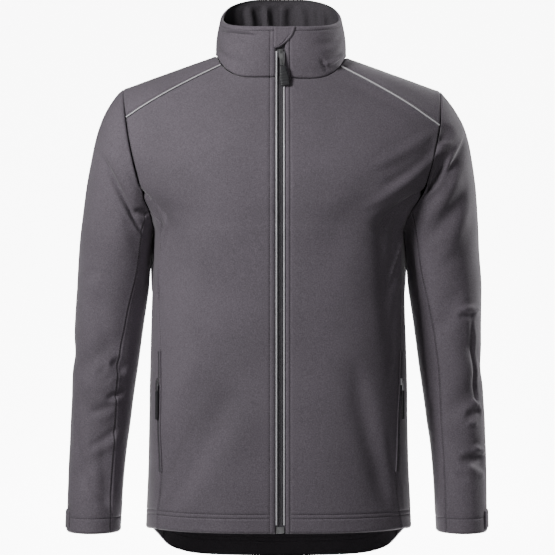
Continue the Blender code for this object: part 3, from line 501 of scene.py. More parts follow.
def joined(*edges):
    """Edges end to end, each one's first point being the last one's last."""
    return np.concatenate([edges[0]] + [edge[1:] for edge in edges[1:]])


def hem_z(angle):
    """Height of the hem at an angle round the body: level in front, dropped at the back."""
    off_side = np.degrees(np.arcsin(np.clip(-np.sin(angle), -1, 1)))
    drop = smooth(np.maximum(off_side, 0), TAIL["angle"], TAIL["drop"])
    front = np.clip(1 + off_side / 25, 0, 1) * TAIL["drop"][0]
    return HEM_Z - np.where(off_side >= 0, drop, front) * MM


def arm_turns(first, last, count):
    return np.linspace(first, last, count + 1)


def under_turns():
    """Turns round the armhole under the arm, between the two side seams."""
    return arm_turns(SEAM_TURN, 2 * math.pi - SEAM_TURN, SIDE_COLUMNS)


def yoke_turns(side):
    """Turns round the armhole over the shoulder, between the two yoke seams."""
    return arm_turns(-BACK_YOKE_TURN, YOKE_TURN[side], YOKE_ROWS)


def arm_edge(turns, side, face):
    """Armhole edge as angles and heights."""
    x, z = armhole(turns, side)
    return pairs(angle_of(x, z, face), z)


def seam_column(side):
    return SIDE_SEAM["left" if side < 0 else "right"]


def seam_edge(side, face):
    """Side seam from the hem to the armhole, as angles and heights."""
    end_x, end_z = armhole(np.array([SEAM_TURN]), side)
    column = seam_column(side)
    low_angle = angle_of(side * column[:1], HEM_Z, face)
    z = np.linspace(hem_z(low_angle)[0], end_z[0], SEAM_ROWS + 1)
    width = smooth(z, np.append(SIDE_SEAM["z"], end_z[0]), np.append(column, abs(end_x[0])))
    return pairs(angle_of(side * width, z, face), z)


def neck_drop(off, face):
    """How far the neck seam lies below the shoulder line, by distance from the neck's middle."""
    front, back = (smooth(abs(off), NECK["x"], NECK[name]) for name in ("front", "back"))
    return np.where(face > 0, front, back)


def neck_turns(side, first, last, count):
    """Neck seam points as width, height and face, by turn from the shoulder (front is positive)."""
    turn = np.linspace(first, last, count + 1)
    face = np.where(turn < 0, -1, 1)
    off = side * NECK_HALF * np.abs(np.cos(turn)) ** (2 / NECK_FULLNESS)
    x = NECK_X + off
    return x, ridge(x, face) - neck_drop(off, face), face


def neck_turn_at(off):
    """Turn of the neck seam's point at this distance from the neck's middle."""
    return math.acos((abs(off) / NECK_HALF) ** (NECK_FULLNESS / 2))


def opening_x(side):
    return OPENING_X + side * OPENING_HALF


def neck_parts(side):
    """Turns of the neck seam's points on one side: front panel, yoke, half of the back."""
    front = neck_turn_at(opening_x(side) - NECK_X), neck_turn_at(YOKE_NECK)
    return (
        (*front, NECK_FRONT_COLUMNS),
        (front[1], -neck_turn_at(BACK_YOKE_NECK), NECK_SIDE_COLUMNS),
        (-neck_turn_at(BACK_YOKE_NECK), -math.pi / 2, NECK_BACK_COLUMNS),
    )


def yoke_seam(side, face):
    """Yoke seam from the armhole to the neck, as widths and heights."""
    turn = YOKE_TURN[side] if face > 0 else -BACK_YOKE_TURN
    arm_x, arm_z = armhole(np.array([turn]), side)
    neck_x, neck_z, _ = neck_turns(side, face * neck_turn_at(YOKE_NECK if face > 0 else BACK_YOKE_NECK), 0, 1)
    u = np.linspace(0, 1, YOKE_COLUMNS + 1)
    x = arm_x[0] + (neck_x[0] - arm_x[0]) * u
    return x, arm_z[0] + (neck_z[0] - arm_z[0]) * u + YOKE_BOW * 4 * u * (1 - u)


def front_panel(side):
    """Angles and heights of a front panel, columns from its side to the opening."""
    side_edge = joined(seam_edge(side, 1), arm_edge(arm_turns(SEAM_TURN, YOKE_TURN[side], ARM_ROWS), side, 1))
    x, z = yoke_seam(side, 1)
    neck_x, neck_z, _ = neck_turns(side, *neck_parts(side)[0])
    top = joined(pairs(angle_of(x, z, 1), z), pairs(angle_of(neck_x, neck_z, 1), neck_z)[::-1])
    height = (side_edge[:, 1] - side_edge[0, 1]) / (side_edge[-1, 1] - side_edge[0, 1])
    middle_z = HEM_Z + (top[-1, 1] - HEM_Z) * height
    middle = pairs(angle_of(opening_x(side), middle_z, 1), middle_z)
    across = np.linspace(side_edge[0, 0], middle[0, 0], len(top))
    return coons(pairs(across, hem_z(across)), top, side_edge, middle)


def back_panel():
    """Angles and heights of the back, columns from -X to +X."""
    edges = {}
    tops = {}
    for side in (-1, 1):
        turns = arm_turns(-SEAM_TURN, -BACK_YOKE_TURN, ARM_ROWS)
        edges[side] = joined(seam_edge(side, -1), arm_edge(turns, side, -1))
        x, z = yoke_seam(side, -1)
        neck_x, neck_z, _ = neck_turns(side, *neck_parts(side)[2])
        tops[side] = joined(pairs(angle_of(x, z, -1), z), pairs(angle_of(neck_x, neck_z, -1), neck_z))
    top = joined(tops[-1], tops[1][::-1])
    across = np.linspace(edges[-1][0, 0], edges[1][0, 0], len(top))
    return coons(pairs(across, hem_z(across)), top, edges[-1], edges[1])


def side_panel(side):
    """Angles and heights of a side panel, columns from its front seam to its back seam."""
    front, back = seam_edge(side, 1), seam_edge(side, -1)
    turns = under_turns()
    wrapped = np.where(turns > math.pi, turns - 2 * math.pi, turns)
    x, z = armhole(wrapped, side)
    top = pairs(angle_of(x, z, np.where(wrapped < 0, -1, 1)), z)
    if side > 0:
        back[:, 0] -= 2 * math.pi
        top[:, 0] = np.where(top[:, 0] > math.pi, top[:, 0] - 2 * math.pi, top[:, 0])
    across = np.linspace(front[0, 0], back[0, 0], SIDE_COLUMNS + 1)
    return coons(pairs(across, hem_z(across)), top, front, back)


def yoke(side):
    """Widths and rolls of a yoke, rows from the back seam to the front seam, columns from arm to neck."""
    def flat(x, z, face):
        return pairs(x, roll_of(x, z, face))

    front = flat(*yoke_seam(side, 1), 1)
    back = flat(*yoke_seam(side, -1), -1)
    turns = yoke_turns(side)
    arm_x, arm_z = armhole(turns, side)
    arm = flat(arm_x, arm_z, np.where(turns < 0, -1, 1))
    first, last, _ = neck_parts(side)[1]
    neck = flat(*neck_turns(side, last, first, NECK_SIDE_COLUMNS))
    return coons(back, front, arm, neck)


def plain_collar(rho, share):
    """Point of the collar by angle round the neck and share of its height."""
    c, s = np.cos(rho), np.sin(rho)
    face = np.where(s < 0, -1, 1)
    off = NECK_HALF * signed_power(c, 2 / NECK_FULLNESS)
    x = NECK_X + off
    low = plain_shoulder(x, roll_of(x, ridge(x, face) - neck_drop(off, face), face))
    high_off = off * COLLAR_TOP_HALF / NECK_HALF
    high_z = smooth(np.degrees(np.arcsin(s)), COLLAR_TOP["angle"], COLLAR_TOP["z"]) * MM
    reach = np.where(face > 0, COLLAR_TOP_FRONT, COLLAR_TOP_BACK) * np.abs(s) ** (2 / NECK_FULLNESS)
    high = np.stack([NECK_X + high_off, COLLAR_TOP_Y - face * reach, high_z], -1)
    swell = COLLAR_BULGE * np.sin(math.pi * np.clip(share, 0, 1))
    away = np.stack([c, -s, 0 * s], -1)
    return low + (high - low) * share[..., None] + away * swell[..., None]


def unit(vectors):
    return vectors / np.linalg.norm(vectors, axis=-1, keepdims=True)


def collar(rho, share):
    """Points and outward normals of the collar."""
    rho, share = np.broadcast_arrays(rho, share)
    points = plain_collar(rho, share)
    outward = -normals_of(plain_collar, rho, share, TURN_STEP, SHARE_STEP)
    return points, outward


def neck_lean(points, outward):
    """Direction of a wall's end at the neck seam, shared by the body and the collar."""
    away = points - np.array([NECK_X, NECK_LEAN_Y, 0])
    away[..., 2] = 0
    return unit(outward + unit(away))


def arm_lean(points, outward, turns, side):
    """Direction of a wall's end at the armhole: away from the hole's middle, leaning to its own wall."""
    ends = [edge_point(*armhole(np.array([turn]), side), 1)[0] for turn in (0, math.pi)]
    middle = (ends[0] + ends[1]) / 2
    away = points - middle
    away = unit(away - np.outer(away @ arm_axis(side), arm_axis(side)))
    lean = ARM_LEAN_TOP + ARM_LEAN_LOW * ((1 - np.cos(turns)) / 2) ** 2
    return unit(away + outward * lean[:, None])


def arm_axis(side):
    """Unit direction square to the armhole, out along the sleeve."""
    (top_x, low_x), (top_z, low_z) = armhole(np.array([0, math.pi]), side)
    return unit(np.array([side * (top_z - low_z), 0, -side * (top_x - low_x)]))


def sleeve_turns(base_turns, rings):
    """Turns of a sleeve piece's points on each ring, following its seams."""
    front = np.radians(smooth(rings, SLEEVE_SEAM["ring"], SLEEVE_SEAM["front"]))[:, None]
    back = np.radians(smooth(rings, SLEEVE_SEAM["ring"], SLEEVE_SEAM["back"]))[:, None]
    base = base_turns[None]
    under = (base - SEAM_TURN) / (2 * math.pi - 2 * SEAM_TURN)
    upper = np.where(base > 0, base * front / SEAM_TURN, base * back / SEAM_TURN)
    return np.where(base > SEAM_TURN + 1e-9, front + (2 * math.pi - back - front) * under, upper)


def collar_columns():
    """Angles round the neck from the opening's -X side by the back to its +X side."""
    halves = {}
    for side in (-1, 1):
        turns = joined(*[np.linspace(first, last, count + 1) for first, last, count in neck_parts(side)])
        halves[side] = math.pi - turns if side < 0 else turns + 2 * math.pi
    return joined(halves[-1], halves[1][::-1])


def opening_grid(xs, lift, low_z, high_share):
    """Points and normals in front of the opening, rows from the hem up into the collar."""
    xs = np.asarray(xs, float)[None, :]
    share = np.abs(xs - NECK_X) / NECK_HALF
    rho = np.arccos(np.sign(xs - NECK_X) * share ** (NECK_FULLNESS / 2))
    neck_z = plain_collar(rho, 0 * rho)[..., 2]
    z = low_z + (neck_z - SEAM_GAP * 4 - low_z) * np.linspace(0, 1, STRIP_ROWS + 1)[:, None]
    low_points, low_outward = body_form(pairs(angle_of(xs + 0 * z, z, 1), z))
    up = np.linspace(STRIP_COLLAR_START, high_share, STRIP_COLLAR_ROWS + 1)[:, None]
    high_points, high_outward = collar_form(pairs(rho + 0 * up, up + 0 * rho))
    points = np.concatenate([low_points, high_points])
    outward = np.concatenate([low_outward, high_outward])
    return points + outward * lift, outward


def body_face_y(z):
    points, _ = body(angle_of(np.array([ZIP_X]), np.array([z]), 1), np.array([z]))
    return float(points[0, 1])


def collar_face_y(z):
    """Depth of the collar's face at the zip, at a height."""
    rho = math.acos((abs(ZIP_X - NECK_X) / NECK_HALF) ** (NECK_FULLNESS / 2))
    share = np.linspace(0, 1, COLLAR_SAMPLES)
    points = plain_collar(np.full(COLLAR_SAMPLES, rho), share)
    return float(np.interp(z, points[:, 2], points[:, 1]))


def seam_frame(z, side):
    """Point on the side seam at a height, and the horizontal direction out of the cloth there."""
    width = smooth(np.array([z]), SIDE_SEAM["z"], seam_column(side))
    points, outward = body(angle_of(side * width, np.array([z]), 1), np.array([z]))
    out = outward[0] * np.array([1, 1, 0])
    return points[0], unit(out)


# Fine grids: steps of the plain stretches and the lines beside a seam, a fold and a row of stitches
GRID_STEP = 3.4 * MM
SEAM_LINES = [0.15, 0.5, 1.0, 1.8, 3.0, 5.0]
STITCH_LINES = [-1.3, -0.6, 0, 0.6, 1.3]
PLACKET_STITCH = {-1: 8.0, 1: 7.2}
HEM_STITCH = {"low": 21.5, "high": 27.5}
CUFF_STITCH = 22.0
SIDE_STITCH = 2.4
YOKE_STITCH = 6.5
COLLAR_STITCH = 7.0
PLEAT_TOP = 7 * MM
PLEAT_FADE = 8 * MM

# Counts of the coarse grids that the fine ones are spaced from
SEAM_ROWS = 90
ARM_ROWS = 30
YOKE_ROWS = 30
YOKE_COLUMNS = 30
NECK_FRONT_COLUMNS = 20
NECK_SIDE_COLUMNS = YOKE_ROWS
NECK_BACK_COLUMNS = 20
SIDE_COLUMNS = 30
SLEEVE_RINGS = 120
COLLAR_ROWS = 24

# Relief beside seams and stitches, in mm: depth and half width of the groove, height and place of the puff
SEAM_GROOVE = (1.1, 0.9, 0.35, 3.2)
FOLD_GROOVE = (1.7, 1.5, 0.3, 4.2)
STITCH_GROOVE = (0.75, 0.8)
LEAN_REACH = 8 * MM

# Creases by their ends as seen from the front (or from behind), in mm: x and z of each end, bow, half width
# and depth, where a ridge has a negative depth
CREASE_COLUMNS = "name x0 z0 x1 z1 bow width depth"
FRONT_CREASES = (
    ("armpit_right_fold", -204, -196, -161, -245, 1.5, 3.4, 5.2),
    ("armpit_right_hollow", -192, -212, -168, -262, 0, 7, 3.0),
    ("armpit_right_ridge", -163.5, -244, -177.5, -374, -4.5, 3.4, -2.6),
    ("flank_right_ridge", -164.6, -397, -170.6, -428, 0, 2.5, -1.0),
    ("chest_right_soft", -150, -150, -205, -185, 3, 12, 0.8),
    ("armpit_left_fold", 210, -204, 149, -247, 5, 8, 4.6),
    ("armpit_left_line", 208, -205, 150, -238, 4, 3.4, 2.6),
    ("armpit_left_hollow", 190, -224, 161, -345, 3, 15, 4.2),
    ("armpit_left_ridge", 180.5, -259, 162.5, -336, -4, 4.0, -3.4),
    ("chest_left_ridge_1", 221, -120, 146, -166, 2, 9, -2.2),
    ("chest_left_trough_1", 224, -143, 155, -194, 3, 9, 2.6),
    ("chest_left_ridge_2", 214, -165, 130, -225, 3, 8, -1.2),
    ("flank_left_soft", 170, -360, 160, -470, 2, 10, 1.6),
    ("skirt_right_1", -71, -507, -158, -653, 6, 20, 2.8),
    ("skirt_right_2", -120, -540, -172, -640, 4, 12, 1.4),
    ("skirt_left_1", 112, -478, 155, -653, -5, 17, 2.8),
    ("skirt_left_2", 160, -560, 178, -660, -3, 9, 1.6),
    ("yoke_right_ridge_1", -100, -40, -205, -86, 2, 6, -0.9),
    ("yoke_right_trough_1", -90, -42, -200, -96, 2, 5, 0.8),
    ("yoke_left_ridge_1", 104, -36, 212, -84, -2, 7, -1.1),
    ("yoke_left_trough_1", 98, -44, 205, -97, -2, 5, 0.9),
)
BACK_CREASES = (
    ("blade_right", -205, -190, -120, -300, 6, 12, 3.0),
    ("blade_right_line", -200, -215, -155, -262, 2, 4, 2.2),
    ("blade_left", 205, -186, 130, -290, -6, 13, 3.2),
    ("blade_left_line", 198, -222, 150, -275, -2, 4, 2.0),
    ("small_right", -150, -380, -40, -440, 8, 16, 2.4),
    ("small_left", 150, -400, 60, -470, -8, 15, 2.2),
    ("underarm_right", -190, -270, -184, -362, 0, 13, -6.5),
    ("underarm_left", 190, -270, 184, -362, 0, 13, -6.5),
    ("skirt_back_right", -90, -520, -120, -700, 5, 20, 2.6),
    ("skirt_back_left", 100, -500, 125, -690, -5, 18, 2.6),
)
SLEEVE_CREASES = {
    -1: (
        ("line", -253.5, -161, -202.5, -258, 0.8, 3.2, 5.4),
        ("line_ridge", -240, -160, -200, -235, 0, 8, -1.2),
        ("dimple", -209, -231, -186, -236, 0, 4.6, 4.2),
        ("cap_soft", -247, -132, -222, -150, 1, 5, 1.3),
        ("inner_soft", -221, -245, -209, -286, 0, 8, 1.8),
        ("outer_soft", -285, -333, -267, -317, 0, 9, 1.8),
        ("elbow_long", -267, -355, -250, -428, 2, 11, 2.4),
        ("elbow_hollow", -244, -452, -227, -467, 0, 8, 4.4),
        ("elbow_soft", -265, -466, -249, -482, 0, 9, 2.2),
        ("elbow_line", -251, -506, -229, -497, 0, 5, 3.0),
        ("forearm_1", -275, -526, -244, -516, 1, 7, 2.5),
        ("forearm_2", -275, -575, -239, -553, 2, 7, 2.7),
        ("forearm_side", -256, -578, -251, -655, 0, 11, 2.8),
        ("wrist", -278, -626, -248, -659, 2, 8, 3.2),
        ("outer_long", -298, -530, -285, -640, 0, 5, 1.2),
    ),
    1: (
        ("deep", 242, -160, 209, -206, 3, 4.4, 9.0),
        ("cap_hollow", 249, -108, 238, -130, 0, 7, 3.0),
        ("cap_ridge", 233, -146, 251, -131, 2, 4.6, -2.8),
        ("cap_pocket", 228, -164, 245, -150, 1, 3.8, 3.2),
        ("fold_edge", 269.5, -124, 236, -183, -2.5, 3.0, -3.8),
        ("band_ridge", 262, -182, 218, -244, 2, 9, -1.9),
        ("band_trough", 269, -203, 220, -272, 2, 9, 2.2),
        ("band_ridge_2", 276, -232, 236, -300, 2, 10, -1.6),
        ("elbow_trough", 262, -350, 240, -400, 0, 12, 2.0),
        ("elbow_ridge", 270, -375, 296, -376, 0, 5, -2.8),
        ("elbow_under", 266, -386, 288, -382, 0, 5, 2.2),
        ("edge_trough", 285, -400, 291, -508, 1, 4.2, 2.4),
        ("pinch_ridge", 284, -508, 300, -524, 0, 3.4, -2.8),
        ("pinch_trough", 276, -532, 299, -524, 0, 6, 3.4),
        ("small_ridge", 276, -545, 292, -540, 0, 3.2, -2.0),
        ("forearm_ridge", 286, -579, 303, -587, 0, 4.4, -3.4),
        ("forearm_trough", 268, -595, 303, -593, 0, 6.5, 4.0),
        ("wrist_ridge", 275, -607, 302, -618, 0, 6, -2.2),
        ("wrist_trough", 259, -616, 277, -623, 0, 4, 1.8),
    ),
}
# Creases of the sleeves' backs, seen from behind
SLEEVE_BACK_CREASES = {
    -1: (
        ("back_cap", -250, -150, -205, -240, 2, 8, 2.4),
        ("back_elbow_1", -280, -430, -238, -455, 2, 7, 3.0),
        ("back_elbow_2", -276, -480, -240, -470, 1, 7, 2.6),
        ("back_forearm", -288, -560, -252, -600, 2, 9, 2.4),
    ),
    1: (
        ("back_cap", 252, -155, 208, -236, -2, 8, 2.6),
        ("back_elbow_1", 282, -420, 240, -446, -2, 7, 3.0),
        ("back_elbow_2", 280, -474, 242, -462, -1, 7, 2.8),
        ("back_forearm", 292, -566, 254, -598, -2, 9, 2.2),
    ),
}
COLLAR_CREASES = (
    ("right_long", -84, 34.5, -35.5, 24, 2.5, 3.0, 4.2),
    ("right_short", -64, 24, -50, 9, 0, 2.6, 3.0),
    ("left_ridge", 94, 1, 70, -17, 1.5, 3.6, -3.6),
    ("left_notch", 62, -13, 72, -26, 0, 2.4, 3.4),
    ("left_soft", 92, 26, 56, 12, 1.5, 7, 1.5),
    ("right_soft", -92, 10, -58, -14, 1, 7, 1.8),
)
COLLAR_BACK_CREASES = (
    ("back_1", -40, 70, -20, 20, 1, 6, 1.2),
    ("back_2", 42, 74, 30, 24, -1, 6, 1.2),
)
# Pleats of the collar's inner face at the back, where it is pressed together: ridges and the gaps between
COLLAR_PLEATS = (
    ("pleat_1", -46, 84, -42, 40, 0, 5, -4.5),
    ("gap_1", -34, 78, -26, 36, 0, 4.5, 2.2),
    ("pleat_2", -19, 84, -16, 38, 0, 4.2, -5.5),
    ("gap_2", -8, 82, -7, 36, 0, 4, 1.5),
    ("pleat_3", 7, 84, 4, 38, 0, 4.8, -5.5),
    ("gap_3", 18, 80, 18, 38, 0, 3.5, 1.5),
    ("pleat_4", 34, 84, 40, 40, 0, 6.5, -4.5),
    ("gap_4", 58, 80, 60, 40, 0, 3.5, 1.5),
    ("pleat_5", 69, 74, 74, 38, 0, 5, -4.5),
    ("gap_5", 84, 66, 86, 36, 0, 3, 1.3),
)
COLLAR_RADIUS = 80 * MM
COLLAR_HEIGHT = 90 * MM

UNEVEN = ((95 * MM, 0.55 * MM), (38 * MM, 0.22 * MM), (15 * MM, 0.06 * MM))
UNEVEN_SEED = 7
LATTICE = 24


def lattice_noise(points, cell, seed):
    """Smooth noise of about -1 to 1 at points in space, with features as large as the cell."""
    values = np.random.default_rng(seed).uniform(-1, 1, (LATTICE, LATTICE, LATTICE))
    place = points / cell + LATTICE * 8
    low = np.floor(place).astype(int)
    u = place - low
    u = u * u * (3 - 2 * u)
    total = 0
    for corner in np.ndindex(2, 2, 2):
        weight = np.prod(np.where(np.array(corner) == 1, u, 1 - u), axis=-1)
        index = (low + corner) % LATTICE
        total = total + weight * values[index[..., 0], index[..., 1], index[..., 2]]
    return total


def unevenness(points):
    return sum(height * lattice_noise(points, cell, UNEVEN_SEED + i) for i, (cell, height) in enumerate(UNEVEN))


def creases(along, up, rows):
    """Height of curved creases on a form unrolled to lengths along it and up it."""
    total = np.zeros(np.broadcast(along, up).shape)
    for _, a0, z0, a1, z1, bow, width, deep in rows:
        start = np.array([a0, z0]) * MM
        line = np.array([a1, z1]) * MM - start
        length = np.hypot(*line)
        run = ((along - start[0]) * line[0] + (up - start[1]) * line[1]) / length**2
        off = ((along - start[0]) * line[1] - (up - start[1]) * line[0]) / length
        off = off - bow * MM * 4 * np.clip(run, 0, 1) * (1 - np.clip(run, 0, 1))
        ends = np.clip(np.minimum(run, 1 - run) / FOLD_END + 0.5, 0, 1)
        taper = ends**2 * (3 - 2 * ends)
        wide = width * MM * (0.55 + 0.45 * taper)
        trough = np.exp(-((off / wide) ** 2))
        lip = np.exp(-(((off - 1.7 * wide) / wide) ** 2)) * 0.35
        total -= deep * MM * taper * (trough - lip)
    return total


def groove(distance, deep, wide, puff=0.0, puff_at=0.0):
    """Height in metres beside an edge or a line, by distance from it."""
    d = distance / MM
    height = -deep * np.exp(-((d / wide) ** 2))
    if puff:
        height = height + puff * np.exp(-(((d - puff_at) / (0.5 * puff_at)) ** 2))
    return height * MM


def spaced(points, grid, axis, first, last, breaks=(), step=GRID_STEP):
    """The grid with lines at distances from its two edges (mm) and even steps between, and those distances."""
    points, grid = np.moveaxis(points, axis, 0), np.moveaxis(grid, axis, 0)
    first, last = np.array(first) * MM, np.array(last) * MM
    lengths = np.concatenate([np.zeros((1, points.shape[1])), np.linalg.norm(np.diff(points, axis=0), axis=-1).cumsum(0)])
    stops = [np.full(points.shape[1], first[-1])] + [lengths[i] for i in breaks] + [lengths[-1] - last[-1]]
    counts = [max(2, int(round(np.mean(b - a) / step))) for a, b in zip(stops, stops[1:])]
    rows, start, end = [], [], []
    for line in range(points.shape[1]):
        total = lengths[-1, line]
        middle = [np.linspace(a[line], b[line], n, endpoint=False) for a, b, n in zip(stops, stops[1:], counts)]
        middle = np.concatenate(middle)[1:]
        at = np.concatenate([first, middle, total - last[::-1]])
        rows.append([np.interp(at, lengths[:, line], grid[:, line, k]) for k in range(grid.shape[-1])])
        start.append(at)
        end.append(total - at)
    made = np.moveaxis(np.array(rows), (0, 1, 2), (1, 2, 0))
    back = np.moveaxis(made, 0, axis)
    return back, np.moveaxis(np.array(start).T, 0, axis), np.moveaxis(np.array(end).T, 0, axis)


def with_lines(*places):
    """Distances in mm for an edge that has rows of stitches at these places."""
    lines = [line for line in SEAM_LINES if all(abs(line - place) > 1.6 for place in places)]
    for place in places:
        lines += [place + line for line in STITCH_LINES if place + line > 0.15]
    if places and max(places) > 10:
        lines += list(np.arange(8, min(places) - 2, 3.5))
    return sorted(lines)


def fine_faces(n_rows, n_columns):
    """Quads of a grid of points numbered row by row."""
    row, column = np.mgrid[0:n_rows - 1, 0:n_columns - 1]
    low = (row * n_columns + column).ravel()
    return np.stack([low, low + 1, low + n_columns + 1, low + n_columns], -1)


def add_mesh(name, vertices, faces, look, smooth_angle=50):
    mesh = bpy.data.meshes.new(name)
    faces = faces.tolist() if isinstance(faces, np.ndarray) else faces
    mesh.from_pydata(np.asarray(vertices, float).reshape(-1, 3).tolist(), [], faces)
    mesh.validate()
    mesh.shade_smooth()
    if smooth_angle:
        mesh.set_sharp_from_angle(angle=math.radians(smooth_angle))
    mesh.materials.append(look)
    made = bpy.data.objects.new(name, mesh)
    bpy.context.scene.collection.objects.link(made)
    return made


def shell(name, outer, outward, thickness, look, shade_darkened_lining=None):
    """Cloth: a closed wall behind a fine grid of outer points, its faces pointing out."""
    inner = outer - outward * np.broadcast_to(thickness, outer.shape[:2])[..., None]
    n_rows, n_columns = outer.shape[:2]
    count = n_rows * n_columns
    top = fine_faces(n_rows, n_columns)
    rim = np.concatenate([
        np.arange(n_columns - 1),
        np.arange(n_rows - 1) * n_columns + n_columns - 1,
        count - 1 - np.arange(n_columns - 1),
        (n_rows - 1 - np.arange(n_rows - 1)) * n_columns,
    ])
    ahead = np.roll(rim, -1)
    sides = np.stack([ahead, rim, rim + count, ahead + count], -1)
    faces = np.concatenate([top, top[:, ::-1] + count, sides])
    vertices = np.concatenate([outer.reshape(-1, 3), inner.reshape(-1, 3)])
    square = np.cross(outer[0, 1] - outer[0, 0], outer[1, 0] - outer[0, 0])
    if square @ outward[0, 0] < 0:
        faces = faces[:, ::-1]
    made = add_mesh(f"{name}_cloth", vertices, faces, look)
    # The inner faces take the lining look, whose dark colour is painted shade
    if shade_darkened_lining is not None:
        made.data.materials.append(shade_darkened_lining)
        made.data.polygons.foreach_set("material_index", [0] * len(top) + [1] * len(top) + [0] * len(sides))
    return made


def fade(distance, reach=LEAN_REACH):
    return np.clip(1 - distance / reach, 0, 1) ** 2


def leaned(points, outward, weight, lean):
    """Normals turned towards a shared direction where a wall's end meets another piece."""
    return unit(outward * (1 - weight[..., None]) + lean * weight[..., None])


def arm_share(points, side):
    """Turn round the armhole of points beside it, by their height."""
    (_, _), (top_z, low_z) = armhole(np.array([0, math.pi]), side)
    return np.arccos(np.clip(2 * (points[..., 2] - low_z) / (top_z - low_z) - 1, -1, 1))


def arm_leaned(points, outward, distance, side, above=None):
    weight = fade(distance)
    if above is not None:
        weight = weight * np.clip(1 + (points[..., 2] - above) / LEAN_REACH, 0, 1)
    flat_points, flat_out = points.reshape(-1, 3), outward.reshape(-1, 3)
    lean = arm_lean(flat_points, flat_out, arm_share(flat_points, side), side).reshape(points.shape)
    return leaned(points, outward, weight, lean)


def neck_leaned(points, outward, distance, reach_x=None):
    weight = fade(distance)
    if reach_x is not None:
        weight = weight * np.clip(1 + (reach_x - np.abs(points[..., 0] - NECK_X)) / LEAN_REACH, 0, 1)
    return leaned(points, outward, weight, neck_lean(points.copy(), outward))


class Panel:
    """A fine grid on a form with the distances from its edges: low and high rows, left and right columns."""

    def __init__(self, grid, form, low, high, left, right, row_breaks=(), column_breaks=(), step=GRID_STEP):
        points = form(grid)[0]
        grid, self.left, self.right = spaced(points, grid, 1, left, right, column_breaks, step)
        points = form(grid)[0]
        columns = np.stack([self.left, self.right], -1)
        both = np.concatenate([grid, columns], -1)
        both, self.low, self.high = spaced(points, both, 0, low, high, row_breaks, step)
        self.grid, self.left, self.right = both[..., :2], both[..., 2], both[..., 3]
        self.points, self.outward = form(self.grid)
        self.height = np.zeros(self.points.shape[:2])
        self.left_is_free = self.points[0, 0, 0] > self.points[0, -1, 0]

    def raise_by(self, height):
        self.height = self.height + height

    def surface(self):
        return self.points + self.outward * self.height[..., None]

    def row(self, place, edge="low", lift=0.0):
        """Points and normals along the row at a distance (mm) from an edge."""
        column = (self.low if edge == "low" else self.high)[:, 0]
        i = int(np.argmin(np.abs(column - place * MM)))
        return self.surface()[i] + self.outward[i] * lift, self.outward[i]

    def column(self, place, edge="left", lift=0.0):
        row = (self.left if edge == "left" else self.right)[0]
        i = int(np.argmin(np.abs(row - place * MM)))
        return self.surface()[:, i] + self.outward[:, i] * lift, self.outward[:, i]


def unrolled(rows, points, along, up):
    """Creases with their ends moved from the width and height seen to lengths along and up a form."""
    made = []
    for name, x0, z0, x1, z1, *rest in rows:
        ends = []
        for x, z in ((x0, z0), (x1, z1)):
            i = int(np.nanargmin(np.hypot(points[..., 0] - x * MM, points[..., 2] - z * MM)))
            ends += [along.flat[i] / MM, up.flat[i] / MM]
        made.append((name, *ends, *rest))
    return made


def sampled(first, last, low, high, count=240):
    """Two grids of a form's values, for looking up where a point of it is seen."""
    return np.meshgrid(np.linspace(first, last, count), np.linspace(low, high, count))


def body_crease_rows():
    rows = []
    for table_rows, first, last in ((FRONT_CREASES, 0, math.pi), (BACK_CREASES, -math.pi, 0)):
        angle, z = sampled(first, last, -0.76, -0.03)
        points = body(angle, z)[0]
        turned = np.where(angle < -math.pi / 2, angle + 2 * math.pi, angle)
        rows += unrolled(table_rows, points, turned * FOLD_RADIUS, z)
    return rows


def sleeve_crease_rows(side):
    rows = []
    for table_rows, first, last in ((SLEEVE_CREASES, 0.02, 0.98), (SLEEVE_BACK_CREASES, -0.98, -0.02)):
        turn, ring = sampled(first * math.pi, last * math.pi, 0.5, LAST_RING)
        points = sleeve(turn, ring, side)[0]
        rows += unrolled(table_rows[side], points, turn * SLEEVE_RADIUS, points[..., 2])
    return rows


def collar_crease_rows(rows, face):
    first, last = (0, math.pi) if face > 0 else (-math.pi, 0)
    rho, share = sampled(first, last, 0, 1)
    turned = np.where(rho < -math.pi / 2, rho + 2 * math.pi, rho)
    return unrolled(rows, plain_collar(rho, share), turned * COLLAR_RADIUS, share * COLLAR_HEIGHT)


def around(angle):
    """Angles from -90 to 270 degrees, so that neither the front nor a side is cut."""
    return (angle + math.pi / 2) % (2 * math.pi) - math.pi / 2


BODY_ROWS = body_crease_rows()
SLEEVE_ROWS = {side: sleeve_crease_rows(side) for side in (-1, 1)}
COLLAR_OUTER_ROWS = collar_crease_rows(COLLAR_CREASES, 1) + collar_crease_rows(COLLAR_BACK_CREASES, -1)
COLLAR_INNER_ROWS = collar_crease_rows(COLLAR_PLEATS, -1)


def body_form(grid):
    points, outward = body(grid[..., 0], grid[..., 1])
    height = creases(around(grid[..., 0]) * FOLD_RADIUS, grid[..., 1], BODY_ROWS) + unevenness(points)
    return points + outward * height[..., None], outward


def shoulder_form(grid):
    points, outward = shoulder(grid[..., 0], grid[..., 1])
    _, z = points[..., 1], points[..., 2]
    face = np.where(grid[..., 1] < 0, -1, 1)
    angle = angle_of(points[..., 0], z, 1)
    angle = np.where(face < 0, -angle, angle)
    height = creases(around(angle) * FOLD_RADIUS, z, BODY_ROWS) + unevenness(points)
    return points + outward * height[..., None], outward


def sleeve_form(side):
    def form(grid):
        points, outward = sleeve(grid[..., 0], grid[..., 1], side)
        wrapped = (grid[..., 0] + math.pi) % (2 * math.pi) - math.pi
        share = np.clip(grid[..., 1] / 1.2, 0, 1)
        height = creases(wrapped * SLEEVE_RADIUS, points[..., 2], SLEEVE_ROWS[side]) * share + unevenness(points)
        shift = arm_axis(side) * SEAM_GAP * np.clip(1 - grid[..., 1], 0, 1)[..., None]
        return points + shift + outward * height[..., None], outward

    return form


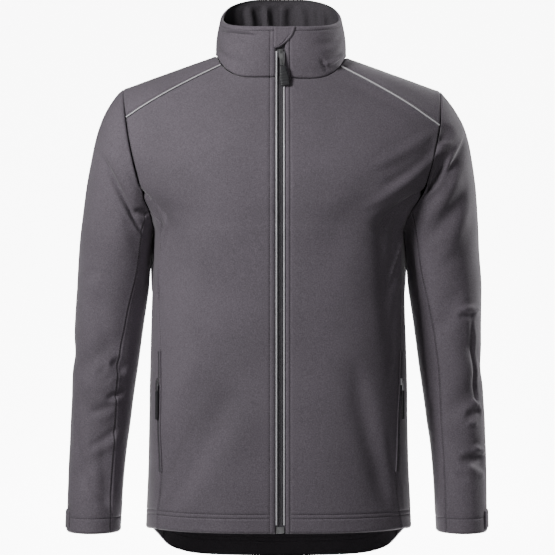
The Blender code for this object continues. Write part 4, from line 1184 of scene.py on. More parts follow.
def collar_form(grid):
    points, outward = collar(grid[..., 0], grid[..., 1])
    along = around(grid[..., 0]) * COLLAR_RADIUS
    height = creases(along, grid[..., 1] * COLLAR_HEIGHT, COLLAR_OUTER_ROWS)
    share = np.clip(grid[..., 1] * 6, 0, 1)
    return points + outward * (height * share + unevenness(points))[..., None], outward


def cloth_piece(made, node, width, length):
    """Attaches a cloth shell to the jacket and hides the frame's node that it stands for."""
    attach(made, "jacket")
    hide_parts(node)
    return made


STITCH_PITCH = 3.3 * MM
STITCH_LENGTH = 2.5 * MM
STITCH_RADIUS = 0.33 * MM
STITCH_SIDES = 5


class Stitches:
    """Many short stitches joined in one mesh."""

    def __init__(self):
        self.vertices, self.faces, self.count = [], [], 0

    def add(self, path, outward, pitch=STITCH_PITCH, length=STITCH_LENGTH, radius=STITCH_RADIUS):
        steps = np.linalg.norm(np.diff(path, axis=0), axis=1)
        lengths = np.concatenate([[0], steps.cumsum()])
        number = int(lengths[-1] / pitch)
        if number < 1:
            return
        starts = (np.arange(number) + 0.5) * lengths[-1] / number
        shares = np.array([-0.5, -0.38, 0.38, 0.5])
        girths = np.array([0.25, 1, 1, 0.25]) * radius
        at = starts[:, None] + shares[None] * length
        centres = np.stack([np.interp(at, lengths, path[:, k]) for k in range(3)], -1)
        normals = unit(np.stack([np.interp(at, lengths, outward[:, k]) for k in range(3)], -1))
        self.tubes(centres, normals, girths)

    def bars(self, first, last, normals, radius):
        """Short round bars between two lists of points."""
        shares = np.array([0, 0.15, 0.85, 1])
        girths = np.array([0.35, 1, 1, 0.35]) * radius
        centres = first[:, None] + (last - first)[:, None] * shares[None, :, None]
        self.tubes(centres, np.repeat(normals[:, None], 4, axis=1), girths)

    def tubes(self, centres, normals, girths):
        number = len(centres)
        tangent = unit(centres[:, -1:] - centres[:, :1])
        side = unit(np.cross(tangent, normals))
        turn = 2 * math.pi * np.arange(STITCH_SIDES) / STITCH_SIDES
        ring = side[:, :, None] * np.cos(turn)[:, None] + normals[:, :, None] * np.sin(turn)[:, None]
        points = centres[:, :, None] + ring * girths[None, :, None, None]
        self.vertices.append(points.reshape(-1, 3))
        one = []
        for ring_at in range(3):
            for k in range(STITCH_SIDES):
                a, b = ring_at * STITCH_SIDES + k, ring_at * STITCH_SIDES + (k + 1) % STITCH_SIDES
                one.append((a, b, b + STITCH_SIDES, a + STITCH_SIDES))
        per = 4 * STITCH_SIDES
        faces = np.array(one)[None] + (self.count + per * np.arange(number))[:, None, None]
        self.faces.append(faces.reshape(-1, 4))
        self.count += per * number

    def build(self, name, look, slot_name="shell_cloth"):
        made = add_mesh(name, np.concatenate(self.vertices), np.concatenate(self.faces), look, 0)
        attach(made, "jacket")
        return made


# Materials
GRAPHITE = (0.158, 0.137, 0.162)
# Lining colour of the inner faces, much darker than the shell: the darkness is painted shade for the inside of the
# collar and the tail
SHADE_DARKENED_LINING = (0.062, 0.055, 0.064)
THREAD_GREY = (0.022, 0.02, 0.023)
TAPE_GREY = (0.085, 0.08, 0.09)
SILVER = (0.82, 0.81, 0.84)
METAL = (0.62, 0.62, 0.63)
RUBBER = (0.03, 0.03, 0.033)


class Look:
    """A node material with short helpers to wire it."""

    def __init__(self, name):
        self.made = bpy.data.materials.new(name)
        self.made.use_nodes = True
        self.nodes, self.links = self.made.node_tree.nodes, self.made.node_tree.links
        self.shader = self.nodes["Principled BSDF"]
        self.place = self.node("ShaderNodeTexCoord").outputs["Object"]

    def node(self, kind, **values):
        made = self.nodes.new(kind)
        for name, value in values.items():
            setattr(made, name, value)
        return made

    def set(self, **values):
        for name, value in values.items():
            self.shader.inputs[name.replace("_", " ")].default_value = value

    def noise(self, scale, detail=2.0, stretch=(1, 1, 1)):
        mapping = self.node("ShaderNodeMapping")
        mapping.inputs["Scale"].default_value = stretch
        texture = self.node("ShaderNodeTexNoise")
        texture.inputs["Scale"].default_value = scale
        texture.inputs["Detail"].default_value = detail
        self.links.new(self.place, mapping.inputs["Vector"])
        self.links.new(mapping.outputs["Vector"], texture.inputs["Vector"])
        return texture.outputs["Fac"]

    def wave(self, scale, direction, distortion=0.0):
        texture = self.node("ShaderNodeTexWave", bands_direction=direction)
        texture.inputs["Scale"].default_value = scale
        texture.inputs["Distortion"].default_value = distortion
        self.links.new(self.place, texture.inputs["Vector"])
        return texture.outputs["Fac"]

    def math(self, operation, a, b):
        made = self.node("ShaderNodeMath", operation=operation)
        for slot, value in zip(made.inputs, (a, b)):
            if isinstance(value, (int, float)):
                slot.default_value = value
            else:
                self.links.new(value, slot)
        return made.outputs[0]

    def ramp(self, factor, *stops):
        made = self.node("ShaderNodeValToRGB")
        elements = made.color_ramp.elements
        for element, (place, colour) in zip(elements, (stops[0], stops[-1])):
            element.position = place
            element.color = (*colour, 1)
        for place, colour in stops[1:-1]:
            element = elements.new(place)
            element.color = (*colour, 1)
        self.links.new(factor, made.inputs["Fac"])
        return made.outputs["Color"]

    def colour(self, output):
        self.links.new(output, self.shader.inputs["Base Color"])

    def rough(self, factor, low, high):
        made = self.node("ShaderNodeMapRange")
        made.inputs["To Min"].default_value = low
        made.inputs["To Max"].default_value = high
        self.links.new(factor, made.inputs["Value"])
        self.links.new(made.outputs["Result"], self.shader.inputs["Roughness"])

    def bump(self, height, strength, distance):
        made = self.node("ShaderNodeBump")
        made.inputs["Strength"].default_value = strength
        made.inputs["Distance"].default_value = distance
        self.links.new(height, made.inputs["Height"])
        self.links.new(made.outputs["Normal"], self.shader.inputs["Normal"])


def shaded(colour, share):
    return tuple(value * share for value in colour)


def cloth_look(name, colour, sheen=0.35):
    """Bonded softshell: a close, slightly flecked weave with a soft sheen."""
    look = Look(name)
    fleck = look.noise(640, 2.0)
    cloud = look.noise(9, 3.0)
    mixed = look.math("ADD", look.math("MULTIPLY", fleck, 0.7), look.math("MULTIPLY", cloud, 0.3))
    look.colour(look.ramp(mixed, (0.36, shaded(colour, 0.76)), (0.5, colour), (0.64, shaded(colour, 1.26))))
    look.rough(cloud, 0.72, 0.86)
    weave = look.math("ADD", look.wave(560, "Z"), look.wave(560, "X"))
    weave = look.math("ADD", weave, look.math("MULTIPLY", fleck, 0.8))
    look.bump(weave, 0.25, 0.0003)
    look.set(Sheen_Weight=sheen, Sheen_Roughness=0.4, Specular_IOR_Level=0.35)
    return look.made


def tape_look(name):
    look = Look(name)
    twill = look.math("ADD", look.wave(420, "DIAGONAL"), look.noise(900, 1.0))
    look.colour(look.ramp(twill, (0.5, shaded(TAPE_GREY, 0.6)), (1.4, shaded(TAPE_GREY, 1.3))))
    look.bump(twill, 0.4, 0.0003)
    look.set(Roughness=0.75, Sheen_Weight=0.2)
    return look.made


def silver_look(name):
    look = Look(name)
    grain = look.noise(900, 2.0)
    look.colour(look.ramp(grain, (0.35, shaded(SILVER, 0.8)), (0.65, shaded(SILVER, 1.12))))
    look.rough(grain, 0.35, 0.5)
    look.bump(grain, 0.2, 0.0002)
    look.set(Metallic=0.15)
    return look.made


def metal_look(name):
    look = Look(name)
    scuff = look.noise(260, 4.0, (1, 1, 0.25))
    look.colour(look.ramp(scuff, (0.4, shaded(METAL, 0.7)), (0.62, METAL)))
    look.rough(scuff, 0.18, 0.42)
    look.bump(scuff, 0.12, 0.0002)
    look.set(Metallic=1.0)
    return look.made


def rubber_look(name):
    look = Look(name)
    grain = look.noise(700, 3.0)
    look.colour(look.ramp(grain, (0.35, shaded(RUBBER, 0.8)), (0.7, shaded(RUBBER, 1.5))))
    look.rough(grain, 0.42, 0.6)
    look.bump(grain, 0.3, 0.0002)
    return look.made


def thread_look(name):
    look = Look(name)
    ply = look.noise(2600, 1.0)
    look.colour(look.ramp(ply, (0.35, shaded(THREAD_GREY, 0.6)), (0.65, shaded(THREAD_GREY, 1.3))))
    look.set(Roughness=0.6, Sheen_Weight=0.3)
    return look.made


CLOTH_LOOK = cloth_look("softshell", GRAPHITE)
# The lining look carries painted shade: its dark colour stands in for the shade inside the jacket
SHADE_DARKENED_LINING_LOOK = cloth_look("softshell_lining_painted_shade", SHADE_DARKENED_LINING, 0.15)
TAPE_LOOK = tape_look("zip_tape")
SILVER_LOOK = silver_look("silver_piping")
METAL_LOOK = metal_look("zip_metal")
RUBBER_LOOK = rubber_look("moulded_grip")
THREAD_LOOK = thread_look("thread")
stitches = {name: Stitches() for name in ("front", "back", "sleeves", "collar", "trim")}


def front_piece(side):
    name = f"front_{SIDE_NAMES[side]}"
    stitch = PLACKET_STITCH[side]
    panel = Panel(
        front_panel(side), body_form, with_lines(*HEM_STITCH.values()), SEAM_LINES,
        with_lines(SIDE_STITCH), with_lines(stitch), (SEAM_ROWS,), (YOKE_COLUMNS,),
    )
    panel.raise_by(groove(panel.left, *SEAM_GROOVE) + groove(panel.high, *SEAM_GROOVE))
    panel.raise_by(groove(panel.right, *FOLD_GROOVE) + groove(panel.low, *FOLD_GROOVE))
    panel.raise_by(groove(panel.right - stitch * MM, *STITCH_GROOVE))
    inside = np.clip((panel.right / MM - stitch - 1) / 1.0, 0, 1)
    for place in HEM_STITCH.values():
        panel.raise_by(groove(panel.low - place * MM, *STITCH_GROOVE) * inside)
    seam_z = panel_seam_top(side)
    out = arm_leaned(panel.points, panel.outward, panel.left, side, seam_z)
    out = neck_leaned(panel.points, out, panel.high, YOKE_NECK)
    thickness = CLOTH + 1.0 * MM * fade(panel.low, 30 * MM)
    made = shell(name, panel.surface(), out, thickness, CLOTH_LOOK, SHADE_DARKENED_LINING_LOOK)
    cloth_piece(made, name, 0.26, 0.7)
    sunk = -0.05 * MM
    stitches["front"].add(*panel.column(stitch, "right", sunk))
    for place in HEM_STITCH.values():
        path, outward = panel.row(place, "low", sunk)
        keep = panel.right[0] > (stitch + 2) * MM
        stitches["front"].add(path[keep], outward[keep])
    path, outward = panel.column(SIDE_STITCH, "left", sunk)
    stitches["front"].add(path, outward)
    return panel


def panel_seam_top(side):
    _, z = armhole(np.array([SEAM_TURN]), side)
    return float(z[0])


def back_piece():
    panel = Panel(
        back_panel(), body_form, with_lines(*HEM_STITCH.values()), SEAM_LINES,
        with_lines(SIDE_STITCH), with_lines(SIDE_STITCH), (SEAM_ROWS,),
        (YOKE_COLUMNS, YOKE_COLUMNS + 2 * NECK_BACK_COLUMNS),
    )
    for edge in (panel.left, panel.right, panel.high):
        panel.raise_by(groove(edge, *SEAM_GROOVE))
    panel.raise_by(groove(panel.low, *FOLD_GROOVE))
    for place in HEM_STITCH.values():
        panel.raise_by(groove(panel.low - place * MM, *STITCH_GROOVE))
    out = panel.outward
    for side, edge in ((-1, panel.left), (1, panel.right)):
        out = arm_leaned(panel.points, out, edge, side, panel_seam_top(side))
    out = neck_leaned(panel.points, out, panel.high, BACK_YOKE_NECK)
    thickness = CLOTH + 1.0 * MM * fade(panel.low, 30 * MM)
    made = shell("back", panel.surface(), out, thickness, CLOTH_LOOK, SHADE_DARKENED_LINING_LOOK)
    cloth_piece(made, "back", 0.52, 0.8)
    for place in HEM_STITCH.values():
        stitches["back"].add(*panel.row(place, "low"))
    for edge in ("left", "right"):
        stitches["back"].add(*panel.column(SIDE_STITCH, edge))
    return panel


def side_piece(side):
    name = f"side_{SIDE_NAMES[side]}"
    panel = Panel(
        side_panel(side), body_form, with_lines(*HEM_STITCH.values()), SEAM_LINES, SEAM_LINES, SEAM_LINES,
    )
    for edge in (panel.left, panel.right, panel.high):
        panel.raise_by(groove(edge, *SEAM_GROOVE))
    panel.raise_by(groove(panel.low, *FOLD_GROOVE))
    for place in HEM_STITCH.values():
        panel.raise_by(groove(panel.low - place * MM, *STITCH_GROOVE))
    out = arm_leaned(panel.points, panel.outward, panel.high, side)
    thickness = CLOTH + 1.0 * MM * fade(panel.low, 30 * MM)
    made = shell(name, panel.surface(), out, thickness, CLOTH_LOOK, SHADE_DARKENED_LINING_LOOK)
    cloth_piece(made, name, 0.16, 0.55)
    for place in HEM_STITCH.values():
        stitches["back"].add(*panel.row(place, "low"))
    return panel


def yoke_piece(side):
    name = f"yoke_{SIDE_NAMES[side]}"
    panel = Panel(yoke(side), shoulder_form, with_lines(), with_lines(YOKE_STITCH), SEAM_LINES, SEAM_LINES)
    for edge in (panel.left, panel.right, panel.low, panel.high):
        panel.raise_by(groove(edge, *SEAM_GROOVE))
    panel.raise_by(groove(panel.high - YOKE_STITCH * MM, *STITCH_GROOVE))
    out = arm_leaned(panel.points, panel.outward, panel.left, side)
    out = neck_leaned(panel.points, out, panel.right)
    made = shell(name, panel.surface(), out, CLOTH, CLOTH_LOOK, SHADE_DARKENED_LINING_LOOK)
    cloth_piece(made, name, 0.2, 0.2)
    stitches["front"].add(*panel.row(YOKE_STITCH, "high"))
    return panel


def sleeve_piece(side, under):
    kind = "under" if under else "upper"
    name = f"sleeve_{kind}_{SIDE_NAMES[side]}"
    upper_turns = joined(
        arm_turns(SEAM_TURN, YOKE_TURN[side], ARM_ROWS),
        arm_turns(YOKE_TURN[side], -BACK_YOKE_TURN, YOKE_ROWS),
        arm_turns(-BACK_YOKE_TURN, -SEAM_TURN, ARM_ROWS),
    )
    turns = under_turns() if under else upper_turns
    rings = np.linspace(0, LAST_RING, SLEEVE_RINGS + 1)
    grid = sleeve_turns(turns, rings)
    grid = pairs(grid, rings[:, None] + 0 * grid)
    seams = SEAM_LINES if under else with_lines(SIDE_STITCH)
    panel = Panel(grid, sleeve_form(side), SEAM_LINES, with_lines(CUFF_STITCH), seams, seams)
    for edge in (panel.left, panel.right, panel.low):
        panel.raise_by(groove(edge, *SEAM_GROOVE))
    panel.raise_by(groove(panel.high, *FOLD_GROOVE) + groove(panel.high - CUFF_STITCH * MM, *STITCH_GROOVE))
    out = arm_leaned(panel.points, panel.outward, panel.low, side)
    thickness = CLOTH + 0.8 * MM * fade(panel.high, 26 * MM)
    made = shell(name, panel.surface(), out, thickness, CLOTH_LOOK, SHADE_DARKENED_LINING_LOOK)
    cloth_piece(made, name, *((0.16, 0.5) if under else (0.42, 0.65)))
    stitches["sleeves"].add(*panel.row(CUFF_STITCH, "high"))
    if not under:
        for edge in ("left", "right"):
            stitches["sleeves"].add(*panel.column(SIDE_STITCH, edge))
    return panel


def collar_piece():
    rho = collar_columns()
    share = np.linspace(0, 1, COLLAR_ROWS + 1)
    grid = pairs(rho[None, :] + 0 * share[:, None], share[:, None] + 0 * rho[None, :])
    parts = [count for _, _, count in neck_parts(-1)]
    breaks = (parts[0], parts[0] + parts[1], parts[0] + parts[1] + 2 * parts[2], sum(parts) + parts[1] + parts[2])
    panel = Panel(
        grid, collar_form, SEAM_LINES, with_lines(COLLAR_STITCH),
        with_lines(PLACKET_STITCH[-1]), with_lines(PLACKET_STITCH[1]), (), breaks, 3 * MM,
    )
    panel.raise_by(groove(panel.low, *SEAM_GROOVE) + groove(panel.high, *FOLD_GROOVE))
    panel.raise_by(groove(panel.high - COLLAR_STITCH * MM, *STITCH_GROOVE))
    for edge, side in ((panel.left, -1), (panel.right, 1)):
        stitch = PLACKET_STITCH[side]
        panel.raise_by(groove(edge, *FOLD_GROOVE))
        below = np.clip((panel.high / MM - COLLAR_STITCH + 1) / 1.0, 0, 1)
        panel.raise_by(groove(edge - stitch * MM, *STITCH_GROOVE) * below)
    x, face = panel.points[..., 0], np.where(np.sin(panel.grid[..., 0]) < 0, -1, 1)
    _, below = shoulder(x, roll_of(x, panel.points[..., 2], face))
    weight = fade(panel.low)
    lean = neck_lean(panel.points.copy(), below)
    out = leaned(panel.points, panel.outward, weight, lean)
    height = panel.grid[..., 1] * COLLAR_HEIGHT
    relief = creases(around(panel.grid[..., 0]) * COLLAR_RADIUS, height, COLLAR_INNER_ROWS)
    inner_share = np.clip(np.minimum(panel.high - PLEAT_TOP, panel.low) / PLEAT_FADE, 0, 1)
    band = groove(panel.high - PLEAT_TOP, 1.0, 1.0)
    wall = COLLAR_CLOTH + np.maximum(relief * inner_share, -0.5 * COLLAR_CLOTH) + band
    made = shell("collar", panel.surface(), out, wall, CLOTH_LOOK, SHADE_DARKENED_LINING_LOOK)
    cloth_piece(made, "collar", 0.56, 0.115)
    stitches["collar"].add(*panel.row(COLLAR_STITCH, "high"))
    for edge, side in (("left", -1), ("right", 1)):
        path, outward = panel.column(PLACKET_STITCH[side], edge)
        keep = panel.high[:, 0] > COLLAR_STITCH * MM
        stitches["collar"].add(path[keep], outward[keep])
    return panel


panels = {}
for side in (-1, 1):
    panels["front", side] = front_piece(side)
    panels["side", side] = side_piece(side)
    panels["yoke", side] = yoke_piece(side)
    for under in (False, True):
        panels["sleeve", side, under] = sleeve_piece(side, under)
panels["back"] = back_piece()
panels["collar"] = collar_piece()


# Trim: sizes of the fine parts of the zips, the guard, the tabs and the pulls
RIB_PITCH = 1.5 * MM
RIB_NEAR = 0.45 * MM
RIB_FAR = 3.4 * MM
RIB_SLANT = 0.35 * MM
RIB_RADIUS = 0.42 * MM
PIPING_SIDES = 12
GUARD_STITCH = 5.0
TAB_STITCH = 3.0
LIP_RADIUS = 1.15 * MM
LIP_PLACE = 3.3
POCKET_RIB = (0.4 * MM, 2.0 * MM)
GRIP_RINGS = 61
GRIP_POINTS = 32
GRIP_RIBS = 7


def path_lengths(path):
    return np.concatenate([[0], np.linalg.norm(np.diff(path, axis=0), axis=1).cumsum()])


def along_path(path, lengths, at):
    return np.stack([np.interp(at, lengths, path[:, k]) for k in range(3)], -1)


def tube(name, path, outward, radius, look, sides=PIPING_SIDES):
    """A round cord along a path, closed at its ends."""
    tangent = unit(np.gradient(path, axis=0))
    across = unit(np.cross(tangent, outward))
    turn = 2 * math.pi * np.arange(sides) / sides
    up = np.cross(across, tangent)
    ring = across[:, None] * np.cos(turn)[:, None] + up[:, None] * np.sin(turn)[:, None]
    girth = np.full(len(path), radius)
    points = path[:, None] + ring * girth[:, None, None]
    faces = []
    for i in range(len(path) - 1):
        for k in range(sides):
            a, b = i * sides + k, i * sides + (k + 1) % sides
            faces.append((a, b, b + sides, a + sides))
    faces.append(tuple(range(sides))[::-1])
    faces.append(tuple((len(path) - 1) * sides + k for k in range(sides)))
    return add_mesh(f"{name}_cord", points, faces, look, 60)


def add_ribs(batch, path, outward, near, far, slant=RIB_SLANT):
    """Teeth across a zip on one side of a path, from near to far of it (negative is the other side)."""
    lengths = path_lengths(path)
    at = np.arange(RIB_PITCH, lengths[-1] - RIB_PITCH, RIB_PITCH)
    middle, normal = along_path(path, lengths, at), unit(along_path(outward, lengths, at))
    tangent = unit(along_path(path, lengths, at + 0.1 * MM) - middle)
    across = unit(np.cross(tangent, normal))
    first = middle + across * near - tangent * slant
    last = middle + across * far + tangent * slant
    batch.bars(first, last, normal, RIB_RADIUS)


def zip_side(side):
    name = f"zip_tape_{SIDE_NAMES[side]}"
    inner = ZIP_X + side * HALF_GAP
    xs = sorted(np.linspace(inner, inner + side * TAPE_WIDTH, 9))
    points, outward = opening_grid(xs, TAPE_LIFT, HEM_Z + 2 * MM, TAPE_TOP)
    made = shell(name, points, outward, TAPE_THICK, TAPE_LOOK)
    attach(made, "jacket")
    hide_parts(name)
    points, outward = opening_grid([PIPING_X[side]], PIPING_LIFT, PIPING_LOW_Z, PIPING_TOP)
    cord = tube(f"zip_piping_{SIDE_NAMES[side]}", points[:, 0], outward[:, 0], PIPING_RADIUS, SILVER_LOOK)
    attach(cord, "jacket")
    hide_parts(f"zip_piping_{SIDE_NAMES[side]}")


def zip_teeth():
    path, outward = opening_grid([ZIP_X], TAPE_LIFT + 0.25 * MM, BOX_Z + BOX_SIZE[2] / 2, TAPE_TOP)
    for sign in (-1, 1):
        add_ribs(teeth, path[:, 0], outward[:, 0], sign * RIB_NEAR, sign * RIB_FAR)


def yoke_piping(side):
    name = f"yoke_piping_{SIDE_NAMES[side]}"
    x, z = yoke_seam(side, 1)
    seam, outward = body_form(pairs(angle_of(x, z, 1), z))
    seam = seam + outward * (PIPING_RADIUS + SEAM_GAP)
    lengths = path_lengths(seam)
    at = np.linspace(PIPING_END, lengths[-1] - PIPING_END, 120)
    made = tube(name, along_path(seam, lengths, at), unit(along_path(outward, lengths, at)), PIPING_RADIUS, SILVER_LOOK)
    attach(made, "jacket")
    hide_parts(name)


def guard():
    z = np.linspace(GUARD["z"][0], GUARD["z"][-1], 60)
    edge_x = smooth(z, GUARD["z"], GUARD["x"])
    across = np.linspace(0, 1, 40)[None, :]
    x = GUARD_START_X + (edge_x[:, None] - GUARD_START_X) * across
    rho = np.arccos(np.sign(x - NECK_X) * (np.abs(x - NECK_X) / NECK_HALF) ** (NECK_FULLNESS / 2))
    height = COLLAR_TOP["z"][-1] * MM - COLLAR_LOW_Z
    share = (z[:, None] - COLLAR_LOW_Z) / height + 0 * rho
    lines = with_lines(GUARD_STITCH)
    panel = Panel(pairs(rho, share), collar_form, SEAM_LINES, SEAM_LINES, lines, SEAM_LINES, (), (), 2 * MM)
    free = panel.left if panel.left_is_free else panel.right
    for edge in (panel.left, panel.right, panel.low, panel.high):
        panel.raise_by(groove(edge, 0.9, 1.2, 0.25, 3.0))
    panel.raise_by(groove(free - GUARD_STITCH * MM, 1.0, 0.7, 0.5, 1.2))
    outer = panel.surface() + panel.outward * (GUARD_CLOTH + CLEAR)
    cloth_piece(shell("chin_guard", outer, panel.outward, GUARD_CLOTH, CLOTH_LOOK), "chin_guard", 0.036, 0.036)


def cuff_tab(side):
    name = f"cuff_tab_{SIDE_NAMES[side]}"
    turns = np.linspace(*TAB_TURNS, 60)[None, :]
    rings = np.linspace(*TAB_RINGS, 20)[:, None]
    grid = pairs(turns + 0 * rings, rings + 0 * turns)
    lines = with_lines(TAB_STITCH)
    panel = Panel(grid, sleeve_form(side), lines, lines, lines, lines, (), (), 2 * MM)
    for edge in (panel.left, panel.right, panel.low, panel.high):
        panel.raise_by(groove(edge, 0.8, 0.9, 0.2, 2.0) + groove(edge - TAB_STITCH * MM, 0.35, 0.6))
    outer = panel.surface() + panel.outward * (TAB_CLOTH + CLEAR)
    cloth_piece(shell(name, outer, panel.outward, TAB_CLOTH, CLOTH_LOOK), name, 0.08, 0.032)
    for place, edges in ((TAB_STITCH, ("low", "high")),):
        for edge in edges:
            path, outward = panel.row(place, edge)
            stitches["trim"].add(path[4:-4] + outward[4:-4] * (TAB_CLOTH + CLEAR), outward[4:-4], 2.6 * MM, 1.9 * MM)


def pocket(side):
    """Welted pocket zip in the side seam: a strip with two lips and teeth between them."""
    name = f"pocket_zip_{SIDE_NAMES[side]}"
    z = np.linspace(POCKET_LOW_Z, POCKET_TOP_Z, 90)
    width = smooth(z, SIDE_SEAM["z"], seam_column(side))
    middle = angle_of(side * width, z, 1)[:, None]
    angle = middle + POCKET_HALF_ANGLE * np.linspace(-1, 1, 13)[None, :]
    points, outward = body_form(pairs(angle, z[:, None] + 0 * angle))
    points = points + outward * (POCKET_THICK + CLEAR)
    made = shell(name, points, outward, POCKET_THICK, TAPE_LOOK)
    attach(made, "jacket")
    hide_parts(name)
    path, normal = points[:, 6], outward[:, 6]
    add_ribs(teeth, path + normal * 0.2 * MM, normal, -POCKET_RIB[1], -POCKET_RIB[0])
    add_ribs(teeth, path + normal * 0.2 * MM, normal, POCKET_RIB[0], POCKET_RIB[1])
    across = unit(np.cross(unit(np.gradient(path, axis=0)), normal))
    for sign in (-1, 1):
        edge = path + across * sign * LIP_PLACE * MM - normal * 0.1 * MM
        lip = tube(f"{name}_lip_{'a' if sign < 0 else 'b'}", edge, normal, LIP_RADIUS, CLOTH_LOOK, 10)
        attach(lip, "jacket")


def swept(name, size, profile, matrix, look, power=3.2):
    """A moulded or pressed piece: rounded sections down its length, each with its width and thickness share."""
    width, thick, height = size
    turn = 2 * math.pi * np.arange(GRIP_POINTS) / GRIP_POINTS
    c, s = np.cos(turn), np.sin(turn)
    rounded = 2 / power
    shape_x = np.sign(c) * np.abs(c) ** rounded
    shape_y = np.sign(s) * np.abs(s) ** rounded
    rings = []
    for share in np.linspace(0, 1, GRIP_RINGS):
        wide, deep = profile(share)
        cap = min(1.0, math.sqrt(max(0.0, 1 - max(0.0, abs(2 * share - 1) - 0.9) ** 2 / 0.0101)))
        ring = np.stack([shape_x * width / 2 * wide * (0.6 + 0.4 * cap), shape_y * thick / 2 * deep * cap, 0 * c], -1)
        ring[:, 2] = (0.5 - share) * height
        rings.append(ring)
    points = np.concatenate(rings) @ np.array(matrix.to_3x3()).T + np.array(matrix.translation)
    faces = []
    for i in range(GRIP_RINGS - 1):
        for k in range(GRIP_POINTS):
            a, b = i * GRIP_POINTS + k, i * GRIP_POINTS + (k + 1) % GRIP_POINTS
            faces.append((a, b, b + GRIP_POINTS, a + GRIP_POINTS))
    faces.append(tuple(range(GRIP_POINTS))[::-1])
    faces.append(tuple((GRIP_RINGS - 1) * GRIP_POINTS + k for k in range(GRIP_POINTS)))
    return add_mesh(name, points, faces, look, 40)


def grip_profile(share):
    """A grip that widens downward, with ribs across its lower two thirds."""
    wide = 0.66 + 0.34 * min(1.0, share * 1.6)
    ribs = 0.86 + 0.14 * math.cos(2 * math.pi * GRIP_RIBS * share) if 0.25 < share < 0.92 else 0.92
    return wide, ribs


def tab_profile(share):
    return 0.8 + 0.2 * share, 0.88 + 0.12 * math.cos(2 * math.pi * 9 * share) if 0.4 < share < 0.95 else 0.9


def grip(node, body, size, matrix, profile):
    middle = mathutils.Matrix.Translation((0, 0, LINK_TOP - size[2] / 2))
    made = swept(f"{node}_moulded", size, profile, matrix @ middle, RUBBER_LOOK)
    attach(made, body)
    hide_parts(node)


def hinge_matrix(place, angles):
    turned = mathutils.Euler(angles, "XYZ").to_matrix().to_4x4()
    return mathutils.Matrix.Translation(place) @ turned


def grips():
    face_y = collar_face_y(SLIDER_Z)
    hinge = hinge_matrix((ZIP_X, face_y - PIVOT_LIFT, PIVOT_Z), (PULL_LEAN, PULL_TILT, 0))
    down = mathutils.Matrix.Translation((0, 0, -LINK_SIZE[2] - SEAM_GAP))
    grip("zip_pull_tab", "zip_pull", GRIP_SIZE, hinge @ down, grip_profile)
    for side in (-1, 1):
        seam, out = seam_frame(POCKET_SLIDER_Z, side)
        turned = math.atan2(out[0], -out[1])
        hinge = hinge_matrix(seam + out * POCKET_PIVOT_LIFT, (0, 0, turned))
        down = mathutils.Matrix.Translation((0, 0, -POCKET_LINK_SIZE[2] - SEAM_GAP))
        name = f"pocket_pull_{SIDE_NAMES[side]}"
        grip(f"{name}_tab", name, POCKET_TAB_SIZE, hinge @ down, tab_profile)


teeth = Stitches()
for side in (-1, 1):
    zip_side(side)
    yoke_piping(side)
    cuff_tab(side)
    pocket(side)
zip_teeth()
guard()
grips()
teeth.build("zip_teeth", TAPE_LOOK, "zip_tape")


def rest_looks():
    """Node materials on the frame's own nodes that show as they are."""
    looks = {"shell_cloth": CLOTH_LOOK, "zip_tape": TAPE_LOOK, "silver_piping": SILVER_LOOK,
             "zip_metal": METAL_LOOK, "moulded_grip": RUBBER_LOOK}
    for row in frame["record"]["subparts"]:
        made = frame["nodes"][row["node"]]
        for place in made.material_slots:
            place.material = looks[row["material_slot"]]


for name, batch in stitches.items():
    if batch.vertices:
        batch.build(f"stitches_{name}", THREAD_LOOK)
rest_looks()


# Backdrop, lights and camera
CAMERA_PLACE = (-0.0015, -3.0, -0.3285)
CAMERA_LENS = 130.6
CAMERA_SENSOR = 36.0
FLOOR_Z = -2.2
FLOOR_FRONT_Y = 0.5
WALL_Y = 8.0
WALL_TOP_Z = 1.5
BACKDROP_HALF = 1.75
BACKDROP_GLOW = 8.0


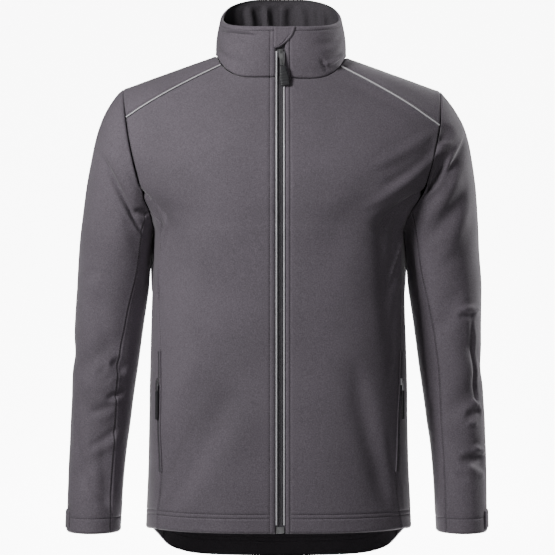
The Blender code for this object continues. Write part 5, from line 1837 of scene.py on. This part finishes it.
def backdrop():
    """A pale sheet that curves from the floor up into the wall."""
    rows = []
    radius = 0.6
    for y in (FLOOR_FRONT_Y, WALL_Y - radius):
        rows.append((y, FLOOR_Z))
    for turn in np.linspace(0, math.pi / 2, 13)[1:]:
        rows.append((WALL_Y - radius + radius * math.sin(turn), FLOOR_Z + radius * (1 - math.cos(turn))))
    rows.append((WALL_Y, WALL_TOP_Z))
    vertices = [(x, y, z) for y, z in rows for x in (-BACKDROP_HALF, BACKDROP_HALF)]
    faces = [(2 * i, 2 * i + 1, 2 * i + 3, 2 * i + 2) for i in range(len(rows) - 1)]
    look = Look("backdrop")
    look.set(Base_Color=(0.92, 0.92, 0.92, 1), Roughness=0.95, Specular_IOR_Level=0.0)
    look.set(Emission_Color=(1, 1, 1, 1), Emission_Strength=BACKDROP_GLOW)
    made = add_mesh("backdrop", vertices, faces, look.made, 0)


def aimed(made, target):
    direction = [t - p for t, p in zip(target, made.location)]
    made.rotation_euler = (
        math.atan2(math.hypot(direction[0], direction[1]), -direction[2]),
        0,
        math.atan2(direction[1], direction[0]) - math.pi / 2,
    )


def light(name, place, target, size, power):
    data = bpy.data.lights.new(name, "AREA")
    data.shape = "RECTANGLE"
    data.size, data.size_y = size
    data.energy = power
    made = bpy.data.objects.new(name, data)
    made.location = place
    aimed(made, target)
    bpy.context.scene.collection.objects.link(made)


def world(strength):
    made = bpy.data.worlds.new("studio")
    made.use_nodes = True
    background = made.node_tree.nodes["Background"]
    background.inputs["Color"].default_value = (1, 1, 1, 1)
    background.inputs["Strength"].default_value = strength
    bpy.context.scene.world = made


def camera():
    data = bpy.data.cameras.new("camera")
    data.lens = CAMERA_LENS
    data.sensor_width = CAMERA_SENSOR
    data.clip_end = 50
    made = bpy.data.objects.new("camera", data)
    made.location = CAMERA_PLACE
    made.rotation_euler = (math.pi / 2, 0, 0)
    bpy.context.scene.collection.objects.link(made)
    bpy.context.scene.camera = made


backdrop()
world(0.07)
light("key", (-1.4, -1.45, 0.8), (0, 0, -0.2), (0.6, 0.6), 44)
light("fill", (1.0, -2.4, -0.7), (0.1, 0, -0.4), (0.8, 0.8), 7)
light("rim", (1.75, 1.0, 0.4), (0.28, 0, -0.2), (0.3, 0.8), 36)
camera()
